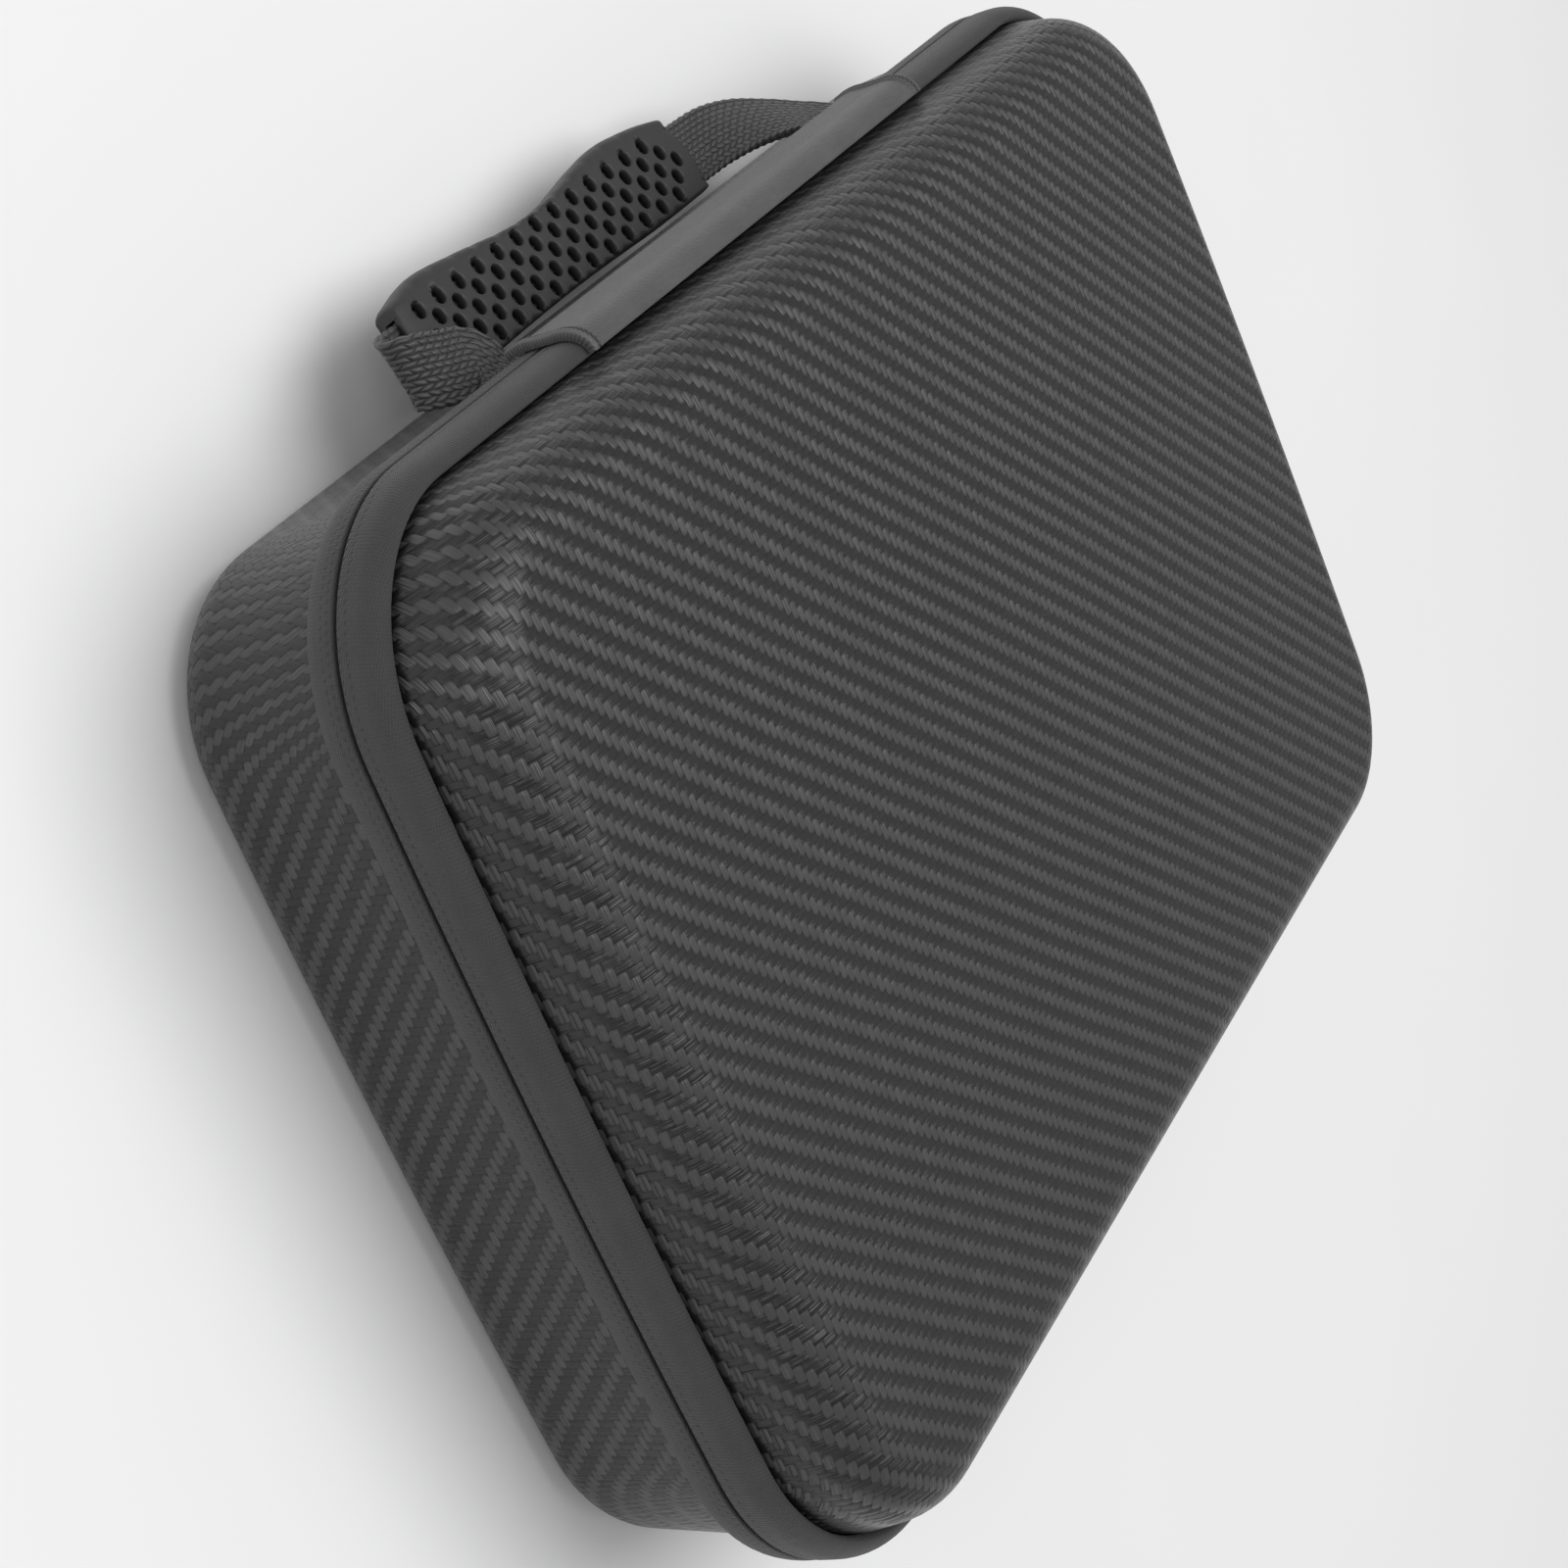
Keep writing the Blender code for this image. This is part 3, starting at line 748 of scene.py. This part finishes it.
class Term:
    """A number that a shader works out. Python's operators add its Math nodes."""

    def __init__(self, finish, socket):
        self.finish = finish
        self.socket = socket

    def __add__(self, other):
        return self.finish.math("ADD", self, other)

    __radd__ = __add__

    def __sub__(self, other):
        return self.finish.math("SUBTRACT", self, other)

    def __rsub__(self, other):
        return self.finish.math("SUBTRACT", other, self)

    def __mul__(self, other):
        return self.finish.math("MULTIPLY", self, other)

    __rmul__ = __mul__

    def __truediv__(self, other):
        return self.finish.math("DIVIDE", self, other)

    def __rtruediv__(self, other):
        return self.finish.math("DIVIDE", other, self)

    def __mod__(self, other):
        return self.finish.math("FLOORED_MODULO", self, other)

    def __pow__(self, other):
        return self.finish.math("POWER", self, other)

    def __abs__(self):
        return self.finish.math("ABSOLUTE", self)

    def __lt__(self, other):
        return self.finish.math("LESS_THAN", self, other)

    def __gt__(self, other):
        return self.finish.math("GREATER_THAN", self, other)

    def floor(self):
        return self.finish.math("FLOOR", self)

    def sin(self):
        return self.finish.math("SINE", self)

    def at_most(self, other):
        return self.finish.math("MINIMUM", self, other)

    def at_least(self, other):
        return self.finish.math("MAXIMUM", self, other)

    def wave(self, pitch):
        """A sine of this length, one full turn for each pitch."""
        return (self * (TAU / pitch)).sin()

    def bump(self, width):
        """A smooth bump round zero: e to the minus (value over width) squared."""
        return self.finish.math("POWER", math.e, self * self * (-1 / width**2))


class Finish:
    """One material, with its nodes made by a few calls."""

    def __init__(self, name):
        self.material = bpy.data.materials.new(name)
        self.material.use_nodes = True
        self.tree = self.material.node_tree
        self.shader = self.tree.nodes["Principled BSDF"]

    def node(self, kind, settings=None, **sockets):
        """A node of that type: its settings first, then its sockets' values or links."""
        made = self.tree.nodes.new(kind)
        for key, value in (settings or {}).items():
            setattr(made, key, value)
        for key, value in sockets.items():
            socket = made.inputs[int(key[1:]) if key[1:].isdigit() else key.replace("_", " ")]
            self.feed(socket, value)
        return made

    def feed(self, socket, value):
        """Gives a socket a value, or a link where the value is another node's output."""
        if isinstance(value, Term):
            value = value.socket
        if isinstance(value, bpy.types.NodeSocket):
            self.tree.links.new(value, socket)
        else:
            socket.default_value = value

    def math(self, operation, *terms):
        made = self.tree.nodes.new("ShaderNodeMath")
        made.operation = operation
        for socket, value in zip(made.inputs, terms):
            self.feed(socket, value)
        return Term(self, made.outputs[0])

    def cloth(self):
        """The piece's own UV in millimetres: (along, across)."""
        uv = self.node("ShaderNodeUVMap", {"uv_map": "cloth"}).outputs[0]
        parts = self.node("ShaderNodeSeparateXYZ", s0=uv)
        return Term(self, parts.outputs[0]) * 1000, Term(self, parts.outputs[1]) * 1000

    def place(self):
        """The point's place in the object, in millimetres."""
        where = self.node("ShaderNodeTexCoord").outputs["Object"]
        parts = self.node("ShaderNodeSeparateXYZ", s0=where)
        return tuple(Term(self, parts.outputs[i]) * 1000 for i in range(3))

    def vector(self, x, y, z):
        return self.node("ShaderNodeCombineXYZ", s0=x, s1=y, s2=z).outputs[0]

    def noise(self, vector, scale, detail=2.0):
        """Smooth noise around zero, from about -0.5 to 0.5."""
        made = self.node("ShaderNodeTexNoise", Vector=vector, Scale=scale, Detail=detail)
        return Term(self, made.outputs["Fac"]) - 0.5

    def thread(self, value):
        """A different steady number from 0 to 1 for each whole number."""
        made = self.node("ShaderNodeTexWhiteNoise", {"noise_dimensions": "1D"}, W=value)
        return Term(self, made.outputs[0])

    def blend(self, share, low, high):
        """A colour from low to high, as grey levels or colours."""
        made = self.node("ShaderNodeMix", {"data_type": "RGBA"})
        self.feed(made.inputs[0], share)
        self.feed(made.inputs[6], grey(low))
        self.feed(made.inputs[7], grey(high))
        return made.outputs[2]

    def lean(self, slope_u, slope_v):
        """Feeds Normal from slopes along the cloth's two directions."""
        colour = self.vector(0.5 - slope_u * 0.5, 0.5 - slope_v * 0.5, 1.0)
        made = self.node("ShaderNodeNormalMap", {"uv_map": "cloth"}, Color=colour)
        self.feed(self.shader.inputs["Normal"], made.outputs[0])

    def relief(self, height, depth):
        """Feeds Normal from a height in millimetres, times depth."""
        made = self.node("ShaderNodeBump", Height=height, Distance=depth * MM)
        self.feed(self.shader.inputs["Normal"], made.outputs[0])

    def set(self, **sockets):
        for key, value in sockets.items():
            self.feed(self.shader.inputs[key.replace("_", " ")], value)


def grey(level):
    """A grey level as a colour. A colour or a socket is returned as it is."""
    if isinstance(level, (int, float)):
        return (level, level, level * 1.01, 1.0)
    return level


def carbon_twill(looks):
    """Coated twill of flat tows: two up, two down, stepping one tow along at each row.

    With column i and row j of tows, k = (i + j) mod 4. Where k is under 2 a lengthwise
    tow lies on top, and elsewhere a crosswise one. Each float is rounded across, dips at
    its ends, and its fine fibres spread the light across it.
    """
    made = Finish("carbon_twill")
    u, v = made.cloth()
    wander = made.noise(made.vector(u, v, 0.0), 0.02, 1.0)
    u = u + wander * 1.2
    column = u / looks.tow_along
    row = v / looks.tow_across
    i, j = column.floor(), row.floor()
    fu, fv = column - i, row - j
    k = (i + j) % 4
    lengthwise = k < 2
    crosswise = 1 - lengthwise
    across_l = fu * 2 - 1
    along_l = k + fv - 1
    across_c = fv * 2 - 1
    along_c = k - 3 + fu
    across = across_l * lengthwise + across_c * crosswise
    along = along_l * lengthwise + along_c * crosswise
    tow = made.thread(i * 0.37 * lengthwise + j * 0.53 * crosswise + 11.3 * lengthwise)
    fibre_u = made.thread((u * 14).floor() * 0.731) - 0.5
    fibre_v = made.thread((v * 14).floor() * 0.617) - 0.5
    round_over = looks.tow_round
    dip = looks.tow_dip
    end = along * along * along
    slope_across = across * round_over
    slope_along = end * dip
    slope_u = lengthwise * (0 - slope_across - fibre_u * looks.fibre_spread)
    slope_u = slope_u - crosswise * slope_along
    slope_v = crosswise * (0 - slope_across - fibre_v * looks.fibre_spread)
    slope_v = slope_v - lengthwise * slope_along
    made.lean(slope_u, slope_v)
    # Painted shade: each float is darkened at its ends, where it dips under the crossing tows, and along
    # its sides next to its neighbours. edge also makes the ends rougher.
    edge = (abs(along) - 0.80 + across * across * 0.24).at_least(0) * 3.2
    rim = (abs(across) - 0.82).at_least(0) * 2.2
    shade = (1 - edge.at_most(1) * 0.8) * (1 - rim * 0.6)
    # Painted sheen: the lengthwise tows get a lighter base colour and the crosswise tows a darker one, in
    # place of the light their fibres reflect.
    level = lengthwise * looks.painted_sheen_tow + crosswise * looks.painted_shade_tow
    level = level * shade * (0.9 + tow * 0.2)
    colour = made.blend(level, 0.0, 1.0)
    worn = made.noise(made.vector(u, v, 0.0), 0.35, 3.0)
    made.set(Base_Color=colour, Roughness=looks.skin_roughness + worn * 0.08 + edge.at_most(1) * 0.2)
    made.set(Specular_IOR_Level=0.5, Coat_Roughness=0.22, Coat_IOR=1.45, Coat_Weight=looks.skin_coat)
    return made.material


def brushed_lining():
    """Dark napped lining: short fibre noise in colour and relief."""
    made = Finish("brushed_lining")
    x, y, z = made.place()
    nap = made.noise(made.vector(x, y, z), 1.6, 4.0)
    made.set(Base_Color=made.blend(nap + 0.5, 0.008, 0.03), Roughness=0.95)
    made.relief(nap, 0.25)
    return made.material


def band_weave(looks):
    """Fine diagonal weave of the zip's tape, with the coil's marks in rows by the zip.

    The weave is the product of two slanted sines. A row of marks is a bump across the
    tape times a raised sine along it, one for each tooth of the coil.
    """
    made = Finish("band_weave")
    u, v = made.cloth()
    high = made.place()[2] - zip_level / MM
    twist = (u + v * 0.9).wave(looks.weave_pitch) * (u * 0.5 - v * 1.1).wave(looks.weave_pitch)
    fine = (u - v * 1.5).wave(looks.weave_pitch * 0.52)
    tooth = u * (TAU / looks.tooth_pitch)
    mark_rows = (
        # height from the zip line, width of the row, phase along it
        (-2.35, 0.26, 0.0),
        (-1.2, 0.30, 1.6),
        (0.95, 0.28, 0.6),
        (2.3, 0.26, 2.2),
    )
    marks = 0.0
    for height, width, phase in mark_rows:
        row = (high - height).bump(width)
        dot = (tooth + phase + high * 0.8).sin() * 0.5 + 0.5
        marks = row * dot * dot + marks
    blotch = made.noise(made.vector(u, v, 0.0), 0.12, 3.0)
    # Painted shade: the tape is darkened to near black within about half a millimetre of the zip line,
    # where the slot between the two halves lies in shade.
    slot = high.bump(0.42)
    # Painted shade: the weave's twist and fine sines go into the colour as into the relief, so the hollows
    # between threads are darker; blotch varies the tone at random.
    level = 0.5 + twist * 0.22 + fine * 0.12 + blotch * 0.5 - marks * 0.55
    colour = made.blend(level.at_least(0).at_most(1), looks.band_dark, looks.band_light)
    colour = made.blend(slot.at_most(1), colour, 0.004)
    made.set(Base_Color=colour, Roughness=0.62 + twist * 0.06, Sheen_Weight=0.12, Sheen_Roughness=0.5)
    made.relief(twist * 0.5 + fine * 0.25 - marks * 1.3, 0.10)
    return made.material


def coil_plastic(looks):
    """Black moulded coil: one ridge for each tooth, on the object's own place."""
    made = Finish("coil_plastic")
    x, y, z = made.place()
    ridge = (x + y).wave(looks.tooth_pitch * 1.4)
    # Painted shade: the colour is darker between the ridges and lighter on them, following the relief.
    made.set(Base_Color=made.blend(ridge * 0.5 + 0.5, 0.004, 0.012), Roughness=0.5 + ridge * 0.08)
    made.relief(ridge, 0.2)
    return made.material


def strip_fabric(looks):
    """Plain-woven fabric of the hinge strip: two crossing thread waves, painted paler on top."""
    made = Finish("strip_fabric")
    u, v = made.cloth()
    warp = u.wave(0.62)
    weft = v.wave(0.55)
    check = warp * weft
    slub = made.noise(made.vector(u * 0.35, v * 2.2, 0.0), 1.0, 3.0)
    blotch = made.noise(made.vector(u, v, 0.0), 0.09, 2.0)
    from_end = hinge_length / 2 / MM - abs(u)
    hem = (from_end - 1.45).bump(0.28) + (from_end - 0.05).bump(0.25) * 0.3
    lip = (from_end - 0.28).bump(0.24)
    # Painted light and shade: the thread waves and slubs are paler where their relief is high, and the hem
    # is darkened in the crease between its two ridges and at the strip's very end. blotch varies the tone
    # at random.
    level = 0.5 + check * 0.22 + slub * 0.35 + blotch * 0.4 - hem * 0.55 + lip * 0.6
    colour = made.blend(level.at_least(0).at_most(1), looks.strip_dark, looks.strip_light)
    made.set(Base_Color=colour, Roughness=0.7, Sheen_Weight=0.2, Sheen_Roughness=0.4)
    made.relief(check * 0.5 + slub * 0.8 - hem * 1.2, 0.09)
    return made.material


def webbing_weave(looks):
    """Coarse webbing: ribs side by side, each a chain of slanted beads along the run.

    With rib r across and r mod 2 a half step, a bead is a half sine along the run and a
    rounded arc across, leaning one way in even ribs and the other in odd ones.
    """
    made = Finish("webbing_weave")
    u, v = made.cloth()
    rib = v / looks.rib_pitch
    number = rib.floor()
    across = (rib - number) * 2 - 1
    odd = number % 2
    lean = (odd * 2 - 1) * across * 0.16
    chain = u / looks.bead_pitch + odd * 0.5 + lean
    along = (chain - chain.floor()) * 2 - 1
    arc = 1 - across * across
    bead = 1 - along * along
    high = (arc * bead.at_least(0)) ** 0.5
    thread = made.thread(number * 0.71 + chain.floor() * 0.37)
    fuzz = made.noise(made.vector(u, v, 0.0), 2.2, 3.0)
    # Painted highlight and shade: the colour follows the beads' height, light on their tops and dark
    # between them, as the relief does; thread and fuzz vary the tone at random.
    level = high * 0.75 + thread * 0.18 + fuzz * 0.3
    colour = made.blend(level.at_least(0).at_most(1), looks.web_dark, looks.web_light)
    made.set(Base_Color=colour, Roughness=0.5 + fuzz * 0.15, Sheen_Weight=0.1)
    made.relief(high + fuzz * 0.1, 0.55)
    return made.material


def grip_rubber(looks):
    """Soft matte rubber: a fine bloom of grain, slightly paler on worn places."""
    made = Finish("grip_rubber")
    x, y, z = made.place()
    grain = made.noise(made.vector(x, y, z), 4.0, 2.0)
    bloom = made.noise(made.vector(x, y, z), 0.12, 3.0)
    level = (0.5 + grain * 0.25 + bloom * 0.5).at_least(0).at_most(1)
    colour = made.blend(level, looks.rubber_dark, looks.rubber_light)
    made.set(Base_Color=colour, Roughness=0.5 + grain * 0.12 + bloom * 0.1, Specular_IOR_Level=0.45)
    made.relief(grain, 0.05)
    return made.material


def black_metal():
    """Black lacquered slider: fine brushed scratches and small dull specks."""
    made = Finish("black_metal")
    x, y, z = made.place()
    scratch = made.noise(made.vector(x * 0.3, y * 6.0, z * 6.0), 1.5, 4.0)
    speck = made.noise(made.vector(x, y, z), 1.1, 3.0)
    colour = made.blend((0.5 + scratch * 0.8).at_least(0).at_most(1), 0.012, 0.03)
    made.set(Base_Color=colour, Metallic=0.6, Roughness=0.38 + speck * 0.3)
    made.relief(scratch, 0.03)
    return made.material


def pale_floor():
    """White seamless paper with the faintest mottling."""
    made = Finish("pale_floor")
    x, y, z = made.place()
    mottle = made.noise(made.vector(x, y, z), 0.01, 2.0)
    made.set(Base_Color=made.blend(mottle + 0.5, 0.90, 0.93), Roughness=0.9, Specular_IOR_Level=0.2)
    return made.material


# Settings


def length(name, description, value):
    return bpy.props.FloatProperty(name=name, description=description, default=value, unit="NONE")


def share(name, description, value):
    return bpy.props.FloatProperty(
        name=name, description=description, default=value, min=0.0, max=4.0, subtype="FACTOR"
    )


class CaseLooks(bpy.types.PropertyGroup):
    """Weave sizes in millimetres, and how light or dark each finish is."""

    tow_along: length("Tow pitch along", "Width of a lengthwise tow in millimetres", 1.535)
    tow_across: length("Tow pitch across", "Width of a crosswise tow in millimetres", 1.466)
    tow_round: share("Tow round", "Slope at a tow's two edges", 0.30)
    tow_dip: share("Tow dip", "Slope at a float's two ends", 0.34)
    fibre_spread: share("Fibre spread", "How far a tow's fibres spread the light", 1.1)
    # Painted sheen and shade: these two tow grey levels stand in for the light each family of fibres
    # reflects.
    painted_sheen_tow: share("Light tow", "Grey level of the lengthwise tows", 0.052)
    painted_shade_tow: share("Dark tow", "Grey level of the crosswise tows", 0.011)
    skin_roughness: share("Skin roughness", "Roughness of the coated skin", 0.34)
    skin_coat: share("Skin coat", "Weight of the skin's clear coat", 0.12)
    weave_pitch: length("Weave pitch", "Pitch of the band's fine weave in millimetres", 0.92)
    tooth_pitch: length("Tooth pitch", "Pitch of the zip's teeth in millimetres", 1.52)
    # Painted shade: band_dark is the grey of the hollows between the threads.
    band_dark: share("Band dark", "Grey level between the band's threads", 0.016)
    band_light: share("Band light", "Grey level of the band's threads", 0.052)
    # Painted shade: strip_dark is the grey of the hollows between the threads.
    strip_dark: share("Strip dark", "Grey level between the strip's threads", 0.035)
    strip_light: share("Strip light", "Grey level of the strip's threads", 0.13)
    rib_pitch: length("Rib pitch", "Width of one webbing rib in millimetres", 1.03)
    bead_pitch: length("Bead pitch", "Length of one webbing bead in millimetres", 1.9)
    # Painted shade and highlight: web_dark is the grey between the beads and web_light the grey of their
    # tops.
    web_dark: share("Webbing dark", "Grey level between the webbing's threads", 0.006)
    web_light: share("Webbing light", "Grey level of the webbing's threads", 0.085)
    rubber_dark: share("Rubber dark", "Darkest grey level of the rubber", 0.026)
    rubber_light: share("Rubber light", "Lightest grey level of the rubber", 0.042)


class CaseStage(bpy.types.PropertyGroup):
    """Camera and lights. Angles and places come from the product picture's view."""

    lens: bpy.props.FloatProperty(
        name="Lens", description="Focal length of the camera in millimetres", default=73.89
    )
    top_light: bpy.props.FloatProperty(
        name="Top light", description="Power of the large soft light above", default=16.0, unit="POWER"
    )
    side_light: bpy.props.FloatProperty(
        name="Side light", description="Power of the soft light at the left", default=5.0, unit="POWER"
    )
    sky: share("Sky", "Strength of the even light from all round", 0.35)


# Operators


def stand_for(piece, materials, slot, *nodes):
    """Gives a piece its materials, its body and the nodes it replaces; the slot it is given is not used."""
    piece.data.materials.clear()
    for material in materials:
        piece.data.materials.append(material)
    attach(piece, "root")
    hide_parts(*nodes)


class CASE_OT_shells(bpy.types.Operator):
    """Builds the two moulded shells with their woven skin and lining"""

    bl_idname = "case.shells"
    bl_label = "Shells"

    def execute(self, context):
        looks = context.scene.case_looks
        skins = [carbon_twill(looks), brushed_lining()]
        front = add_shell(
            "front_shell_skin", front_edge_inset, front_edge_radius, front_height, band_front, 1, 0.5 * MM
        )
        stand_for(front, skins, "shell_skin", "front_shell")
        back = add_shell(
            "back_shell_skin", back_edge_inset, back_edge_radius, back_height, band_rear, -1, 0.0
        )
        stand_for(back, skins, "shell_skin", "back_shell")
        return {"FINISHED"}


class CASE_OT_zip_band(bpy.types.Operator):
    """Builds the two fabric halves of the zip band, and finishes the coil behind them"""

    bl_idname = "case.zip_band"
    bl_label = "Zip band"

    def execute(self, context):
        looks = context.scene.case_looks
        fabric = band_weave(looks)
        back = [(band_depth - 0.3 * MM, band_front * 0.93), (band_depth, band_front * 0.80)]
        front = np.concatenate([front_face_rows(), back, [(band_depth, zip_gap / 2)]])
        stand_for(ring_piece("zip_band_front_cloth", front), [fabric], "band_fabric", "zip_band_front")
        rear = np.concatenate([rear_face_rows(), [(band_depth, -zip_gap / 2), (band_depth, -band_rear)]])
        stand_for(ring_piece("zip_band_rear_cloth", rear), [fabric], "band_fabric", "zip_band_rear")
        plastic = coil_plastic(looks)
        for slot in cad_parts["zip_coil"].material_slots:
            slot.material = plastic
        return {"FINISHED"}


class CASE_OT_hinge_strip(bpy.types.Operator):
    """Builds the fabric strip that is folded over the band at the hinge"""

    bl_idname = "case.hinge_strip"
    bl_label = "Hinge strip"

    def execute(self, context):
        piece = add_hinge_strip("hinge_strip_cloth")
        stand_for(piece, [strip_fabric(context.scene.case_looks)], "hinge_fabric", "hinge_strip")
        return {"FINISHED"}


class CASE_OT_webbing(bpy.types.Operator):
    """Builds the handle's webbing"""

    bl_idname = "case.webbing"
    bl_label = "Webbing"

    def execute(self, context):
        piece = add_webbing("handle_webbing")
        stand_for(piece, [webbing_weave(context.scene.case_looks)], "webbing", "handle_strap")
        return {"FINISHED"}


class CASE_OT_grip(bpy.types.Operator):
    """Builds the pierced rubber grip round the webbing"""

    bl_idname = "case.grip"
    bl_label = "Grip"

    def execute(self, context):
        piece = add_grip("pierced_grip")
        stand_for(piece, [grip_rubber(context.scene.case_looks)], "grip_rubber", "grip")
        return {"FINISHED"}


class CASE_OT_slider(bpy.types.Operator):
    """Builds the zip's slider with its flat pull"""

    bl_idname = "case.slider"
    bl_label = "Slider"

    def execute(self, context):
        piece = add_slider("slider_and_pull")
        stand_for(piece, [black_metal()], "slider_metal", "zip_slider")
        return {"FINISHED"}


def aim(obj, target):
    """Turns a lamp or camera so that it looks from its own place at the target."""
    way = Vector(target) - obj.location
    obj.rotation_euler = way.to_track_quat("-Z", "Y").to_euler()


def add_lamp(name, place, target, width, height, power):
    """A flat soft light of that size, aimed at the target."""
    lamp = bpy.data.lights.new(name, "AREA")
    lamp.shape = "RECTANGLE"
    lamp.size = width
    lamp.size_y = height
    lamp.energy = power
    obj = bpy.data.objects.new(name, lamp)
    bpy.context.scene.collection.objects.link(obj)
    obj.location = place
    aim(obj, target)
    return obj


class CASE_OT_stage(bpy.types.Operator):
    """Sets up the floor, the soft lights and the camera at the picture's view"""

    bl_idname = "case.stage"
    bl_label = "Stage"

    def execute(self, context):
        stage = context.scene.case_stage
        reach = 6.0
        corners = [(-reach, -reach, 0), (reach, -reach, 0), (reach, reach, 0), (-reach, reach, 0)]
        floor = new_piece("floor", corners, [(0, 1, 2, 3)])
        floor.data.materials.append(pale_floor())
        add_lamp("top_softbox", (0.10, 0.25, 1.5), (0, 0, 0), 1.6, 1.2, stage.top_light)
        add_lamp("left_softbox", (-1.3, 0.5, 0.9), (0, 0, 0.03), 0.8, 0.8, stage.side_light)
        world = bpy.data.worlds.new("studio")
        world.use_nodes = True
        back = world.node_tree.nodes["Background"]
        back.inputs[0].default_value = (1.0, 1.0, 1.0, 1.0)
        back.inputs[1].default_value = stage.sky
        context.scene.world = world
        camera = bpy.data.cameras.new("view")
        camera.lens = stage.lens
        camera.sensor_width = 36.0
        camera.clip_start = 0.01
        view = bpy.data.objects.new("view", camera)
        context.scene.collection.objects.link(view)
        view.matrix_world = Matrix(
            (
                (0.4211, 0.4782, -0.7707, -0.465612),
                (-0.3847, 0.8637, 0.3258, 0.185712),
                (0.8214, 0.1593, 0.5477, 0.334628),
                (0.0, 0.0, 0.0, 1.0),
            )
        )
        context.scene.camera = view
        context.scene.view_settings.view_transform = "Standard"
        return {"FINISHED"}


class CASE_PT_panel(bpy.types.Panel):
    """Lists the case's pieces and its settings"""

    bl_idname = "CASE_PT_panel"
    bl_label = "Camera case"
    bl_space_type = "VIEW_3D"
    bl_region_type = "UI"
    bl_category = "Case"

    def draw(self, context):
        column = self.layout.column()
        for operator in OPERATORS:
            column.operator(operator.bl_idname)
        for group in (context.scene.case_looks, context.scene.case_stage):
            for name in group.__annotations__:
                column.prop(group, name)


OPERATORS = (
    CASE_OT_shells,
    CASE_OT_zip_band,
    CASE_OT_hinge_strip,
    CASE_OT_webbing,
    CASE_OT_grip,
    CASE_OT_slider,
    CASE_OT_stage,
)
CLASSES = (CaseLooks, CaseStage, *OPERATORS, CASE_PT_panel)


def register():
    for made in CLASSES:
        bpy.utils.register_class(made)
    bpy.types.Scene.case_looks = bpy.props.PointerProperty(type=CaseLooks)
    bpy.types.Scene.case_stage = bpy.props.PointerProperty(type=CaseStage)


def unregister():
    del bpy.types.Scene.case_stage
    del bpy.types.Scene.case_looks
    for made in reversed(CLASSES):
        bpy.utils.unregister_class(made)


def main():
    register()
    bpy.ops.case.shells()
    bpy.ops.case.zip_band()
    bpy.ops.case.hinge_strip()
    bpy.ops.case.webbing()
    bpy.ops.case.grip()
    bpy.ops.case.slider()
    bpy.ops.case.stage()


if __name__ == "__main__":
    main()
